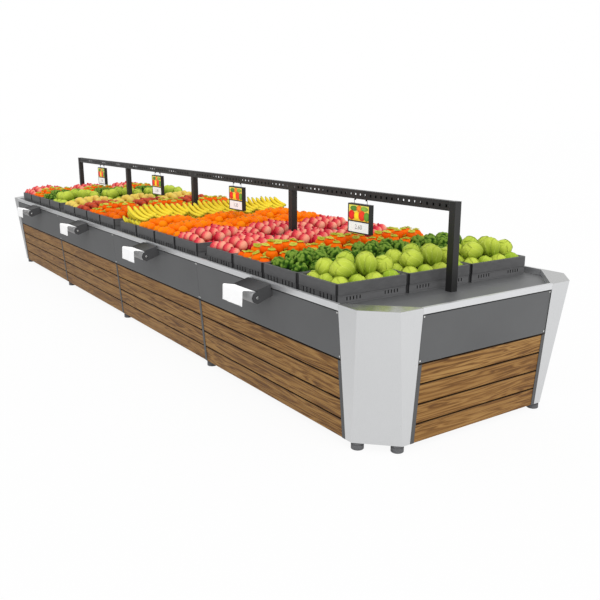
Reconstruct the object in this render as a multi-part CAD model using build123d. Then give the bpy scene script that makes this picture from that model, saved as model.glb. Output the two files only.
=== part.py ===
from build123d import *
from math import cos, radians, sin, tan
import os

# A free-standing island for fruit and vegetables: a folded steel tray on a hidden frame, with leaning
# sides of sheet panels and wood slats, four chamfered corner columns, a perforated price rail on posts,
# hanging price tags, bag-roll dispensers and 48 crates of produce.
# Millimetres. X runs along the stand, Y across it (front is -Y), Z is up from the floor.

# Overall sizes
BAY_PITCH = 1750.0
BAYS = 4
RIM_HEIGHT = 865.0
RIM_HALF_WIDTH = 874.0
CORNER_LEG = 329.0
LEAN = 4.7
SKIRT_BOTTOM = 48.0
SLAT_TOP = 541.0

# Folded steel
SHEET = 2.0
RIM_WIDTH = 20.0
RIM_BAND = 38.0
TRAY_DEPTH = 40.0
SEAM_GAP = 1.0
PANEL_INSET = 3.0
PANEL_LIP = 10.0
PANEL_GAP = 6.0
COLUMN_RETURN = 25.0
FLANK_TOP = 166.0
FLANK_BOTTOM = 56.0

# Wood cladding and its cover strips
SLATS = 4
SLAT_GAP = 9.0
SLAT_THICKNESS = 18.0
STRIP_WIDTH = 30.0

# Hidden frame
TUBE = 40.0
TUBE_WALL = 3.0
UPRIGHT_WIDTH = 58.0
FRAME_CLEARANCE = 6.0
FOOT_SETBACK = 50.0
FOOT_DIAMETER = 76.0
FOOT_SIDES = 12
STUD_SIDES = 4
STUD_DIAMETER = 14.0
STUD_CLEARANCE = 0.3
STUD_LENGTH = 34.0
FOOT_SEAT = 0.3

# Posts and price rail
POST = 50.0
POST_WALL = 3.0
POST_CLEARANCE = 0.5
SOCKET_WALL = 3.5
SOCKET_DEPTH = 120.0
RAIL_RISE = 510.0
RAIL_HEIGHT = 60.0
RAIL_DEPTH = 40.0
RAIL_WALL = 2.0
RAIL_GAP = 0.5
RAIL_SLOT_WIDTH = 16.0
RAIL_SLOT_HEIGHT = 18.0
FRONT_SLOT_PITCH = 54.7
FRONT_SLOTS = 31
REAR_SLOT_PITCH = 50.0
REAR_SLOTS = 33
JOINER_LENGTH = 160.0
JOINER_CLEARANCE = 0.3
BRACKET_LENGTH = 45.0
BRACKET_PLATE = 5.0

# Price tags
TAG_WIDTH = 240.0
TAG_HEIGHT = 208.0
TAG_DEPTH = 36.0
TAG_BORDER = 9.0
TAG_CARD_CLEARANCE = 0.3
TAG_CARD_INSET = 1.0
TAG_CARD = 2.0
TAG_PRICE_HEIGHT = 72.0
TAG_SHIFT = -20.0
WIRE_SPACING = 142.0
WIRE_DIAMETER = 4.0
WIRE_LENGTH = 35.0
WIRE_BEND = 4.0
WIRE_SIDES = 6
LUG_THICKNESS = 3.0
LUG_WIDTH = 14.0
LUG_DROP = 12.0
LUG_HOLE_CLEARANCE = 0.5
LUG_HOLE_SIDES = 6

# Bag-roll dispensers, one in each bay of the front
HOOD_LENGTH = 272.0
HOOD_REACH = 105.0
HOOD_FALL = 28.0
HOOD_BACK = 45.0
HOOD_SHIFT = 52.0
HOOD_FOOT = 12.0
HOOD_STEP = 6.0
HOOD_RIDGE = 30.0
RIDGE_REACH = 15.0
CHEEK = 3.0
AXLE_DIAMETER = 12.0
AXLE_REACH = 110.0
AXLE_DROP = 44.0
AXLE_HEAD = 18.0
AXLE_HEAD_LENGTH = 4.0
CHEEK_NOSE = 40.0
NOSE_SIDES = 8
AXLE_SIDES = 8
BORE_SIDES = 12
ROLL_SIDES = 16
ROLL_DIAMETER = 78.0
ROLL_LENGTH = 256.0
ROLL_CLEARANCE = 0.5
TAIL_WIDTH = 254.0
TAIL_SHEET = 1.0
TAIL_REACH = 101.0
TAIL_RISE = 58.0
TAIL_DROP = 103.0
TAIL_BEND = 8.0
TAIL_LEAVE = 45.0
TAIL_CLEARANCE = 0.6

# Crates and what they hold
CRATES_PER_BAY = 4
CRATE_ROWS = 3
BAY_SPARE = 146.0
ROW_MARGIN = 44.5
CRATE_HEIGHT = 122.0
CRATE_WALL = 8.0
CRATE_FLOOR = 4.0
CRATE_GAP_X = 6.0
CRATE_GAP_Y = 10.0
CRATE_SHIFT = -18.0
HEAP_CLEARANCE = 2.0
HEAP_EDGE = 8.0
HEAP_SLOPE = 50.0
HEAP_HOLLOW = 42.0
HEAP_TOP = {
    "pomegranate": 88.0,
    "pepper": 86.0,
    "broccoli": 92.0,
    "cabbage": 114.0,
    "pear": 86.0,
    "tomato": 78.0,
    "orange": 87.0,
    "banana": 96.0,
}
LARGE_CROPS = ("broccoli", "cabbage", "banana")
LARGE_HEADS = (2, 3)
BAY_CROPS = (
    ("pomegranate", "pepper", "broccoli", "cabbage"),
    ("pear", "tomato", "pepper", "orange"),
    ("banana", "orange", "orange", "pomegranate"),
    ("pomegranate", "pepper", "broccoli", "cabbage"),
)

# Screws that hold the sheet panels
SCREW_HEAD = 11.0
SCREW_RISE = 3.0
SCREW_EDGE = 8.0
SCREW_LOW = 14.0

# Levels and lines worked out from the sizes above
END_X = BAYS * BAY_PITCH / 2
RIM_HALF_LENGTH = END_X + CORNER_LEG
END_HALF = RIM_HALF_WIDTH - CORNER_LEG
BAY_LINES = [(i - BAYS / 2) * BAY_PITCH for i in range(BAYS + 1)]
BAY_CENTRES = [(i - (BAYS - 1) / 2) * BAY_PITCH for i in range(BAYS)]
LEAN_SLOPE = tan(radians(LEAN))
SLAB = 1 / cos(radians(LEAN))
BAND_BOTTOM = RIM_HEIGHT - RIM_BAND
PANEL_TOP = BAND_BOTTOM - PANEL_GAP
DECK = RIM_HEIGHT - TRAY_DEPTH
DECK_UNDERSIDE = DECK - SHEET
DECK_FRAME_BOTTOM = DECK_UNDERSIDE - TUBE
BASE_FRAME_TOP = SKIRT_BOTTOM + TUBE
TRAY_HALF = RIM_HALF_WIDTH - RIM_WIDTH
TRAY_END = RIM_HALF_LENGTH - RIM_WIDTH
CLADDING_BACK = PANEL_INSET + SLAT_THICKNESS
RAIL_TOP = RIM_HEIGHT + RAIL_RISE
RAIL_BOTTOM = RAIL_TOP - RAIL_HEIGHT
CRATE_PITCH = (BAY_PITCH - BAY_SPARE) / CRATES_PER_BAY
CRATE_X = CRATE_PITCH - CRATE_GAP_X
CRATE_ROW = (2 * TRAY_HALF - 2 * ROW_MARGIN + CRATE_GAP_Y) / CRATE_ROWS
CRATE_Y = CRATE_ROW - CRATE_GAP_Y
WIRE_AXIS = RAIL_BOTTOM - LUG_DROP / 2
WIRE_PIN = LUG_THICKNESS / 2 + WIRE_DIAMETER
LUG_REACH = WIRE_SPACING / 2 - WIRE_PIN - WIRE_BEND
SCREW_LEVELS = (PANEL_TOP - SCREW_EDGE, SLAT_TOP + SCREW_LOW)
TAG_TOP = RAIL_BOTTOM - WIRE_LENGTH


def skin(z):
    """Distance that the leaning outer face has moved in below the rim, at height z."""
    return (RIM_HEIGHT - z) * LEAN_SLOPE


def front_point(z, depth=0.0):
    """(y, z) of a point at a depth behind the front face."""
    return (-(RIM_HALF_WIDTH - skin(z) - depth * SLAB), z)


def end_point(z, depth=0.0):
    """(x, z) of a point at a depth behind the near end face."""
    return (RIM_HALF_LENGTH - skin(z) - depth * SLAB, z)


def folded(path, thickness):
    """Closed outline of a sheet that follows a path, with its thickness on the path's left."""
    points = [Vector(*p) for p in path]
    normals = []
    for a, b in zip(points, points[1:]):
        along = (b - a).normalized()
        normals.append(Vector(-along.Y, along.X))
    inner = [points[0] + normals[0] * thickness]
    for point, before, after in zip(points[1:], normals, normals[1:]):
        inner.append(point + (before + after) * (thickness / (1 + before.dot(after))))
    inner.append(points[-1] + normals[-1] * thickness)
    return [(p.X, p.Y) for p in points + inner[::-1]]


def outline(points):
    return make_face(Polyline(*points, close=True))


def along_x(points, x0, x1):
    """Solid of a (y, z) outline between two places along the stand."""
    plane = Plane(origin=(x0, 0, 0), x_dir=(0, 1, 0), z_dir=(1, 0, 0))
    return extrude(plane * outline(points), amount=x1 - x0)


def along_y(points, y0, y1):
    """Solid of an (x, z) outline between two places across the stand."""
    plane = Plane(origin=(0, y1, 0), x_dir=(1, 0, 0), z_dir=(0, -1, 0))
    return extrude(plane * outline(points), amount=y1 - y0)


def flat(points, z0, z1):
    """Solid of an (x, y) outline between two heights."""
    return extrude(Pos(0, 0, z0) * outline(points), amount=z1 - z0)


def box(x0, x1, y0, y1, z0, z1):
    return Pos((x0 + x1) / 2, (y0 + y1) / 2, (z0 + z1) / 2) * Box(x1 - x0, y1 - y0, z1 - z0)


def to_rear(solid):
    return mirror(solid, about=Plane.XZ)


def to_far(solid):
    return mirror(solid, about=Plane.YZ)


# Trays: one folded sheet for each bay and a tapered one at each end
def post_notch(x):
    hole = POST / 2 + POST_CLEARANCE
    return box(x - hole, x + hole, -hole, hole, DECK_UNDERSIDE - SHEET, DECK + SHEET)


def bay_tray(centre):
    edge = [(-RIM_HALF_WIDTH, RIM_HEIGHT), (-TRAY_HALF, RIM_HEIGHT), (-TRAY_HALF, DECK)]
    front = [front_point(BAND_BOTTOM)] + edge
    rear = [(-y, z) for y, z in front]
    sheet = along_x(
        folded(rear + front[::-1], SHEET),
        centre - BAY_PITCH / 2 + SEAM_GAP / 2,
        centre + BAY_PITCH / 2 - SEAM_GAP / 2,
    )
    return sheet - post_notch(centre - BAY_PITCH / 2) - post_notch(centre + BAY_PITCH / 2)


def end_tray():
    start = END_X + SEAM_GAP / 2
    taper = TRAY_HALF - END_HALF
    run = TRAY_END - END_X
    miter = SHEET * ((run ** 2 + taper ** 2) ** 0.5) / run
    reach = SHEET * (1 + miter / SHEET - taper / run)
    inner = [
        (END_X - run, -TRAY_HALF - taper),
        (TRAY_END, -END_HALF),
        (TRAY_END, END_HALF),
        (END_X - run, TRAY_HALF + taper),
    ]
    outer = [
        (END_X, -TRAY_HALF - miter),
        (TRAY_END + SHEET, -END_HALF - reach),
        (TRAY_END + SHEET, END_HALF + reach),
        (END_X, TRAY_HALF + miter),
    ]
    pan = flat(outer, DECK_UNDERSIDE, RIM_HEIGHT - SHEET) - flat(inner, DECK, RIM_HEIGHT)
    rim = along_y(
        folded([end_point(BAND_BOTTOM), (RIM_HALF_LENGTH, RIM_HEIGHT), (TRAY_END, RIM_HEIGHT)], SHEET),
        -END_HALF + SEAM_GAP / 2,
        END_HALF - SEAM_GAP / 2,
    )
    trimmed = pan - box(END_X - run, start, -RIM_HALF_WIDTH, RIM_HALF_WIDTH, 0, RIM_HEIGHT)
    return trimmed + rim - post_notch(END_X)


# Corner columns: three facets folded from one sheet, drawn in towards the floor, under a flat cap
def column_path(z, flank):
    x_end = RIM_HALF_LENGTH - skin(z)
    y_side = -(RIM_HALF_WIDTH - skin(z))
    return [
        (END_X, y_side + COLUMN_RETURN),
        (END_X, y_side),
        (END_X + flank, y_side),
        (x_end, -END_HALF - flank),
        (x_end, -END_HALF),
        (x_end - COLUMN_RETURN, -END_HALF),
    ]


def drawn_in(low, high, z0, z1):
    """Solid with flat facets between two (x, y) outlines whose edges are parallel in pairs."""
    bottom = [Vector(x, y, z0) for x, y in low]
    top = [Vector(x, y, z1) for x, y in high]
    faces = [Face(Wire.make_polygon(bottom)), Face(Wire.make_polygon(top))]
    for a, b, c, d in zip(bottom, bottom[1:] + bottom[:1], top[1:] + top[:1], top):
        faces.append(Face(Wire.make_polygon([a, b, c, d])))
    return Part() + Solid(Shell(faces))


def corner_column():
    top = RIM_HEIGHT - SHEET
    low = folded(column_path(SKIRT_BOTTOM, FLANK_BOTTOM), SHEET)
    high = folded(column_path(top, FLANK_TOP), SHEET)
    facets = drawn_in(low, high, SKIRT_BOTTOM, top)
    edge = column_path(top, FLANK_TOP)[1:5]
    cap = flat(edge + [(TRAY_END, -END_HALF), (END_X, -TRAY_HALF)], top, RIM_HEIGHT)
    low = DECK_UNDERSIDE - SHEET
    room = 2 * SHEET
    side_notch = box(END_X - SHEET, END_X + room, -TRAY_HALF - room, -TRAY_HALF + COLUMN_RETURN, low, top)
    end_notch = box(TRAY_END - COLUMN_RETURN, TRAY_END + room, -END_HALF - room, -END_HALF + SHEET, low, top)
    return facets - side_notch - end_notch + cap


# Sheet panels, wood slats and cover strips of the sides
def pan_path(point):
    """Fold line of a panel: a lip at the top, the face, and a bottom return back to the uprights."""
    top = point(PANEL_TOP, PANEL_INSET)
    lip = point(PANEL_TOP, PANEL_INSET + PANEL_LIP)
    bottom = point(SLAT_TOP, PANEL_INSET)
    seat = point(SLAT_TOP + SHEET, CLADDING_BACK)
    return [lip, top, bottom, (seat[0], SLAT_TOP)]


def panel_ends(centre):
    """Where the panel of a bay starts and stops: close to its neighbour, and clear of a column."""
    half = BAY_PITCH / 2 - SEAM_GAP
    last = END_X - PANEL_GAP
    return max(centre - half, -last), min(centre + half, last)


def front_panel(centre):
    return along_x(folded(pan_path(front_point), SHEET), *panel_ends(centre))


def end_panel():
    half = END_HALF - PANEL_GAP
    return along_y(folded(pan_path(end_point)[::-1], SHEET), -half, half)


def slat_levels():
    height = (SLAT_TOP - SLAT_GAP - SKIRT_BOTTOM - (SLATS - 1) * SLAT_GAP) / SLATS
    lows = [SKIRT_BOTTOM + i * (height + SLAT_GAP) for i in range(SLATS)]
    return [(low, low + height) for low in lows]


def slat_outline(point, z0, z1):
    face = [point(z0, PANEL_INSET), point(z1, PANEL_INSET)]
    return face + [point(z1, CLADDING_BACK), point(z0, CLADDING_BACK)]


def front_slats(centre):
    half = BAY_PITCH / 2 - SEAM_GAP
    outlines = [slat_outline(front_point, *level) for level in slat_levels()]
    return [along_x(shape, centre - half, centre + half) for shape in outlines]


def near_end_slats():
    half = END_HALF - SEAM_GAP
    return [along_y(slat_outline(end_point, *level), -half, half) for level in slat_levels()]


def strip_outline(point):
    top = SLAT_TOP - SLAT_GAP
    return [point(SKIRT_BOTTOM), point(top), point(top, PANEL_INSET), point(SKIRT_BOTTOM, PANEL_INSET)]


def front_strips():
    last = END_X - STRIP_WIDTH / 2
    places = [min(max(x, -last), last) for x in BAY_LINES]
    shape = strip_outline(front_point)
    return [along_x(shape, x - STRIP_WIDTH / 2, x + STRIP_WIDTH / 2) for x in places]


def near_end_strips():
    shape = strip_outline(end_point)
    first = along_y(shape, -END_HALF, -END_HALF + STRIP_WIDTH)
    return [first, to_rear(first)]


# Screw heads on the panel corners
def screw():
    return extrude(RegularPolygon(SCREW_HEAD / 2, 6), amount=SCREW_RISE)


def front_screw_seats(centre):
    start, stop = panel_ends(centre)
    seats = []
    for z in SCREW_LEVELS:
        y = front_point(z, PANEL_INSET)[0]
        for x in (start + SCREW_EDGE, stop - SCREW_EDGE):
            seats.append(Plane(origin=(x, y, z), x_dir=(1, 0, 0), z_dir=(0, -1, -LEAN_SLOPE)))
    return seats


def end_screw_seats():
    reach = END_HALF - PANEL_GAP - SCREW_EDGE
    seats = []
    for z in SCREW_LEVELS:
        x = end_point(z, PANEL_INSET)[0]
        for y in (-reach, reach):
            seats.append(Plane(origin=(x, y, z), x_dir=(0, 1, 0), z_dir=(1, 0, -LEAN_SLOPE)))
    return seats


def panel_screws():
    front = [seat * screw() for centre in BAY_CENTRES for seat in front_screw_seats(centre)]
    near = [seat * screw() for seat in end_screw_seats()]
    return front + [to_rear(s) for s in front] + near + [to_far(s) for s in near]


# Hidden frame: a channel ring on the feet, leaning uprights, a deck ring with beams, and post sockets
def foot_places():
    """Feet of the near front quarter: two under the corner, then one under each inner bay line."""
    inner = RIM_HALF_WIDTH - skin(SKIRT_BOTTOM) - END_HALF - FOOT_SETBACK
    corner = [(END_X + FOOT_SETBACK, -END_HALF - inner), (END_X + inner, -END_HALF - FOOT_SETBACK)]
    lines = [(x, -END_HALF - inner) for x in BAY_LINES[1:-1]]
    return corner, lines


def all_feet():
    corner, lines = foot_places()
    places = []
    for x, y in corner:
        places += [(x, y), (x, -y), (-x, y), (-x, -y)]
    for x, y in lines:
        places += [(x, y), (x, -y)]
    return places


def ring_face(corner, offset_by):
    points = []
    for sx, sy, order in ((1, -1, 1), (1, 1, -1), (-1, 1, 1), (-1, -1, -1)):
        points += [(sx * x, -sy * y) for x, y in corner[::order]]
    return offset(outline(points), amount=offset_by, kind=Kind.INTERSECTION)


def base_frame():
    corner, _ = foot_places()
    half = TUBE / 2
    bar = ring_face(corner, half) - ring_face(corner, -half)
    hollow = ring_face(corner, half - TUBE_WALL) - ring_face(corner, -half - TUBE_WALL)
    ring = extrude(Pos(0, 0, SKIRT_BOTTOM) * bar, amount=TUBE)
    channel = extrude(Pos(0, 0, SKIRT_BOTTOM + TUBE_WALL) * hollow, amount=TUBE - 2 * TUBE_WALL)
    hole = RegularPolygon(STUD_DIAMETER / 2 + STUD_CLEARANCE, STUD_SIDES)
    drill = extrude(hole, amount=2 * TUBE_WALL, both=True)
    return ring - channel - [Pos(x, y, SKIRT_BOTTOM) * drill for x, y in all_feet()]


def uprights():
    depth = CLADDING_BACK
    levels = (BASE_FRAME_TOP, DECK_FRAME_BOTTOM)
    last = END_X - UPRIGHT_WIDTH / 2
    half = UPRIGHT_WIDTH / 2

    def tube(point, sweep, a, b):
        low, high = levels
        over, under = high + TUBE, low - TUBE
        back = depth + TUBE
        shell = [point(low, depth), point(high, depth), point(high, back), point(low, back)]
        near, far = depth + TUBE_WALL, back - TUBE_WALL
        core = [point(under, near), point(over, near), point(over, far), point(under, far)]
        return sweep(shell, a, b) - sweep(core, a + TUBE_WALL, b - TUBE_WALL)

    bars = []
    for line in BAY_LINES:
        x = min(max(line, -last), last)
        front = tube(front_point, along_x, x - half, x + half)
        bars += [front, to_rear(front)]
    corner = tube(end_point, along_y, -END_HALF, -END_HALF + UPRIGHT_WIDTH)
    for bar in (corner, to_rear(corner)):
        bars += [bar, to_far(bar)]
    return bars


def channel_bar(x0, x1, y_half):
    """A C channel across the stand, open towards +X."""
    low, high = DECK_FRAME_BOTTOM, DECK_UNDERSIDE
    bar = box(x0, x1, -y_half, y_half, low, high)
    return bar - box(x0 + TUBE_WALL, x1 + TUBE_WALL, -y_half, y_half, low + TUBE_WALL, high - TUBE_WALL)


def deck_frame():
    side = RIM_HALF_WIDTH - skin(DECK_FRAME_BOTTOM) - COLUMN_RETURN - FRAME_CLEARANCE
    end = RIM_HALF_LENGTH - skin(DECK_FRAME_BOTTOM) - COLUMN_RETURN - FRAME_CLEARANCE
    corner = [(END_X - FRAME_CLEARANCE, -side), (end, -END_HALF + FRAME_CLEARANCE)]
    bar = ring_face(corner, 0) - ring_face(corner, -TUBE)
    hollow = ring_face(corner, -TUBE_WALL) - ring_face(corner, -TUBE - TUBE_WALL)
    ring = extrude(Pos(0, 0, DECK_FRAME_BOTTOM) * bar, amount=TUBE)
    channel = extrude(Pos(0, 0, DECK_FRAME_BOTTOM + TUBE_WALL) * hollow, amount=TUBE - 2 * TUBE_WALL)
    reach = side - TUBE_WALL
    socket = POST / 2 + POST_CLEARANCE + SOCKET_WALL
    frame = ring - channel
    for x in BAY_LINES:
        beam = channel_bar(x + socket, x + socket + TUBE, reach)
        frame += mirror(beam, about=Plane.YZ.offset(x)) if x > 0 else beam
    return frame


def post_socket(x):
    inner = POST / 2 + POST_CLEARANCE
    outer = inner + SOCKET_WALL
    bottom = DECK_UNDERSIDE - SOCKET_DEPTH
    sleeve = box(x - outer, x + outer, -outer, outer, bottom, DECK_UNDERSIDE)
    return sleeve - box(x - inner, x + inner, -inner, inner, bottom + SOCKET_WALL, DECK)


def levelling_foot(x, y):
    height = SKIRT_BOTTOM - FOOT_SEAT
    pad = extrude(RegularPolygon(FOOT_DIAMETER / 2, FOOT_SIDES), amount=height)
    stud = extrude(Pos(0, 0, height) * RegularPolygon(STUD_DIAMETER / 2, STUD_SIDES), amount=STUD_LENGTH)
    return Pos(x, y, 0) * (pad + stud)


# Posts stand in the sockets; the two end posts rise to the top of the rail, the others carry it
def post(x):
    is_end = abs(x) > END_X - POST
    top = RAIL_TOP if is_end else RAIL_BOTTOM
    bottom = DECK_UNDERSIDE - SOCKET_DEPTH + SOCKET_WALL
    half = POST / 2
    bore = half - POST_WALL
    tube = box(x - half, x + half, -half, half, bottom, top)
    return tube - box(x - bore, x + bore, -bore, bore, bottom, top - POST_WALL)


def rail(centre):
    start = max(centre - BAY_PITCH / 2 + RAIL_GAP / 2, -END_X + POST / 2 + BRACKET_PLATE)
    stop = min(centre + BAY_PITCH / 2 - RAIL_GAP / 2, END_X - POST / 2 - BRACKET_PLATE)
    half = RAIL_DEPTH / 2
    tube = box(start, stop, -half, half, RAIL_BOTTOM, RAIL_TOP)
    bore = box(
        start, stop, -half + RAIL_WALL, half - RAIL_WALL, RAIL_BOTTOM + RAIL_WALL, RAIL_TOP - RAIL_WALL
    )
    middle = (RAIL_BOTTOM + RAIL_TOP) / 2
    slot = Box(RAIL_SLOT_WIDTH, RAIL_DEPTH / 2, RAIL_SLOT_HEIGHT)
    slots = []
    for y, pitch, count in ((-half, FRONT_SLOT_PITCH, FRONT_SLOTS), (half, REAR_SLOT_PITCH, REAR_SLOTS)):
        first = centre - (count - 1) * pitch / 2
        slots += [Pos(first + i * pitch, y, middle) * slot for i in range(count)]
    return tube - bore - slots


def rail_joiner(x):
    """Sleeve inside the rail that bridges two lengths over a post."""
    half = RAIL_DEPTH / 2 - RAIL_WALL - JOINER_CLEARANCE
    low = RAIL_BOTTOM + RAIL_WALL
    high = RAIL_TOP - RAIL_WALL - JOINER_CLEARANCE
    channel = box(x - JOINER_LENGTH / 2, x + JOINER_LENGTH / 2, -half, half, low, high)
    bore = box(x - JOINER_LENGTH, x + JOINER_LENGTH, -half + SHEET, half - SHEET, low + SHEET, high + SHEET)
    return channel - bore


def rail_bracket():
    """Plate on the near end post with a tongue that the rail slides over."""
    x = END_X - POST / 2
    half = RAIL_DEPTH / 2
    plate = box(x - BRACKET_PLATE, x, -half, half, RAIL_BOTTOM, RAIL_TOP)
    inner = half - RAIL_WALL - JOINER_CLEARANCE
    high = RAIL_TOP - RAIL_WALL
    tongue = box(x - BRACKET_LENGTH, x - BRACKET_PLATE, -inner, inner, high - SHEET, high)
    return plate + tongue


# Price tags: an open box frame with cards in both faces, hung by two bent wires from lugs on the rail
def tag_lug(x):
    half, wide = LUG_THICKNESS / 2, LUG_WIDTH / 2
    plate = box(x - half, x + half, -wide, wide, RAIL_BOTTOM - LUG_DROP, RAIL_BOTTOM)
    hole = RegularPolygon(WIRE_DIAMETER / 2 + LUG_HOLE_CLEARANCE, LUG_HOLE_SIDES)
    return plate - Pos(x, 0, WIRE_AXIS) * Rot(0, 90, 0) * extrude(hole, amount=LUG_THICKNESS, both=True)


def tag_wire(x, side):
    drop = x + side * (WIRE_PIN + WIRE_BEND)
    path = Polyline(
        (x - side * WIRE_PIN, 0, WIRE_AXIS),
        (x + side * WIRE_PIN, 0, WIRE_AXIS),
        (drop, 0, WIRE_AXIS - WIRE_BEND),
        (drop, 0, TAG_TOP),
    )
    section = Plane(origin=path @ 0, z_dir=path % 0) * RegularPolygon(WIRE_DIAMETER / 2, WIRE_SIDES)
    return sweep(section, path, transition=Transition.RIGHT)


def tag_windows():
    """Lowest and highest level of the price window and of the picture window."""
    bottom = TAG_TOP - TAG_HEIGHT + TAG_BORDER
    split = bottom + TAG_PRICE_HEIGHT
    return ((bottom, split), (split + TAG_BORDER, TAG_TOP - TAG_BORDER))


def tag_frame(x):
    half = TAG_WIDTH / 2
    frame = box(x - half, x + half, -TAG_DEPTH / 2, TAG_DEPTH / 2, TAG_TOP - TAG_HEIGHT, TAG_TOP)
    opening = half - TAG_BORDER
    for low, high in tag_windows():
        frame -= box(x - opening, x + opening, -TAG_DEPTH, TAG_DEPTH, low, high)
    return frame


def tag_cards(x):
    wide = TAG_WIDTH / 2 - TAG_BORDER - TAG_CARD_CLEARANCE
    face = TAG_DEPTH / 2 - TAG_CARD_INSET
    cards = []
    for low, high in tag_windows():
        foot, head = low + TAG_CARD_CLEARANCE, high - TAG_CARD_CLEARANCE
        card = box(x - wide, x + wide, -face, -face + TAG_CARD, foot, head)
        cards += [card, to_rear(card)]
    return cards


# Bag-roll dispensers: a folded hood with two cheeks on the panel, an axle, a roll and the drawn-out bag
def panel_face(z):
    return front_point(z, PANEL_INSET)


def axle_centre():
    y_panel, z_panel = panel_face(PANEL_TOP - AXLE_DROP)
    return (y_panel - AXLE_REACH, z_panel)


def bag_hood(centre):
    bottom = panel_face(PANEL_TOP - HOOD_BACK)
    foot = panel_face(PANEL_TOP - HOOD_FOOT)
    step = (foot[0] - HOOD_STEP, PANEL_TOP - HOOD_FOOT / 2)
    ridge = (foot[0] - RIDGE_REACH, PANEL_TOP + HOOD_RIDGE)
    front = (ridge[0] - HOOD_REACH, ridge[1] - HOOD_FALL)
    half = HOOD_LENGTH / 2
    back = [bottom, foot, step, ridge]
    hood = along_x(folded(back + [front], SHEET), centre - half, centre + half)
    y_axle, z_axle = axle_centre()
    cheek = outline(back + [front, (y_axle, z_axle + CHEEK_NOSE), (y_axle, z_axle - CHEEK_NOSE)])
    nose = Pos(y_axle, z_axle) * RegularPolygon(CHEEK_NOSE, NOSE_SIDES)
    hole = Pos(y_axle, z_axle) * RegularPolygon(AXLE_DIAMETER / 2, AXLE_SIDES)
    for x in (centre - half, centre + half - CHEEK):
        plane = Plane(origin=(x, 0, 0), x_dir=(0, 1, 0), z_dir=(1, 0, 0))
        hood += extrude(plane * (cheek + nose - hole), amount=CHEEK)
    return hood


def turned(centre, diameter, sides, x0, x1):
    plane = Plane(origin=(centre + x0, *axle_centre()), x_dir=(0, 1, 0), z_dir=(1, 0, 0))
    return extrude(plane * RegularPolygon(diameter / 2, sides), amount=x1 - x0)


def roll_axle(centre):
    half = HOOD_LENGTH / 2
    rod = turned(centre, AXLE_DIAMETER, AXLE_SIDES, -half, half)
    near_head = turned(centre, AXLE_HEAD, AXLE_SIDES, half, half + AXLE_HEAD_LENGTH)
    far_head = turned(centre, AXLE_HEAD, AXLE_SIDES, -half - AXLE_HEAD_LENGTH, -half)
    return rod + near_head + far_head


def bag_roll(centre):
    half = ROLL_LENGTH / 2
    bore = AXLE_DIAMETER + 2 * ROLL_CLEARANCE
    core = turned(centre, bore, BORE_SIDES, -ROLL_LENGTH, ROLL_LENGTH)
    return turned(centre, ROLL_DIAMETER, ROLL_SIDES, -half, half) - core


def bag_tail(centre):
    """The next bag: it leaves the roll's upper front, rises to a crest and hangs well in front."""
    y, z = axle_centre()
    clear = ROLL_DIAMETER / 2 + TAIL_CLEARANCE
    leave = (y - clear * cos(radians(TAIL_LEAVE)), z + clear * sin(radians(TAIL_LEAVE)))
    front, crest = y - TAIL_REACH, z + TAIL_RISE
    hang = [(front, crest - TAIL_DROP), (front, crest - TAIL_BEND), (front + TAIL_BEND, crest)]
    sheet = folded(hang + [leave], TAIL_SHEET)
    return along_x(sheet, centre - TAIL_WIDTH / 2, centre + TAIL_WIDTH / 2)


# Crates: a shallow moulded box, and the heap in it
def crate():
    box = Pos(0, 0, CRATE_HEIGHT / 2) * Box(CRATE_X, CRATE_Y, CRATE_HEIGHT)
    inside = Pos(0, 0, CRATE_FLOOR + CRATE_HEIGHT / 2) * Box(
        CRATE_X - 2 * CRATE_WALL, CRATE_Y - 2 * CRATE_WALL, CRATE_HEIGHT
    )
    return box - inside


def lumps(side, count, top):
    """A heap's section along one side: lumps with hollows between them, low at both edges."""
    pitch = side / count
    points = [(-side / 2, CRATE_FLOOR), (-side / 2, CRATE_HEIGHT + HEAP_EDGE)]
    for k in range(count):
        start = k * pitch - side / 2
        low = HEAP_HOLLOW if k < count - 1 else HEAP_EDGE
        points.append((start + HEAP_SLOPE, CRATE_HEIGHT + top))
        points.append((start + pitch - HEAP_SLOPE, CRATE_HEIGHT + top))
        points.append((start + pitch, CRATE_HEIGHT + low))
    return outline(points + [(side / 2, CRATE_FLOOR)])


def heap(crop):
    """A heap that fills its crate: large heads stand apart in rows, small fruit makes one mound."""
    side_x, side_y = [side - 2 * CRATE_WALL - 2 * HEAP_CLEARANCE for side in (CRATE_X, CRATE_Y)]
    count_x, count_y = LARGE_HEADS if crop in LARGE_CROPS else (1, 1)
    across = Plane(origin=(0, side_y / 2, 0), x_dir=(1, 0, 0), z_dir=(0, -1, 0))
    rows = extrude(across * lumps(side_x, count_x, HEAP_TOP[crop]), amount=side_y)
    along = Plane(origin=(-side_x / 2, 0, 0), x_dir=(0, 1, 0), z_dir=(1, 0, 0))
    return rows & extrude(along * lumps(side_y, count_y, HEAP_TOP[crop]), amount=side_x)


def crate_places(bay, row):
    """Centres of the crates of one bay and row; row -1 is the front, 0 the middle, 1 the rear."""
    first = BAY_CENTRES[bay] + CRATE_SHIFT - (CRATES_PER_BAY - 1) * CRATE_PITCH / 2
    return [Pos(first + i * CRATE_PITCH, row * CRATE_ROW, DECK) for i in range(CRATES_PER_BAY)]


def crates(bay, row):
    shape = crate()
    return [place * shape for place in crate_places(bay, row)]


def produce(bay, row):
    return [place * heap(crop) for place, crop in zip(crate_places(bay, row), BAY_CROPS[bay])]


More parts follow.
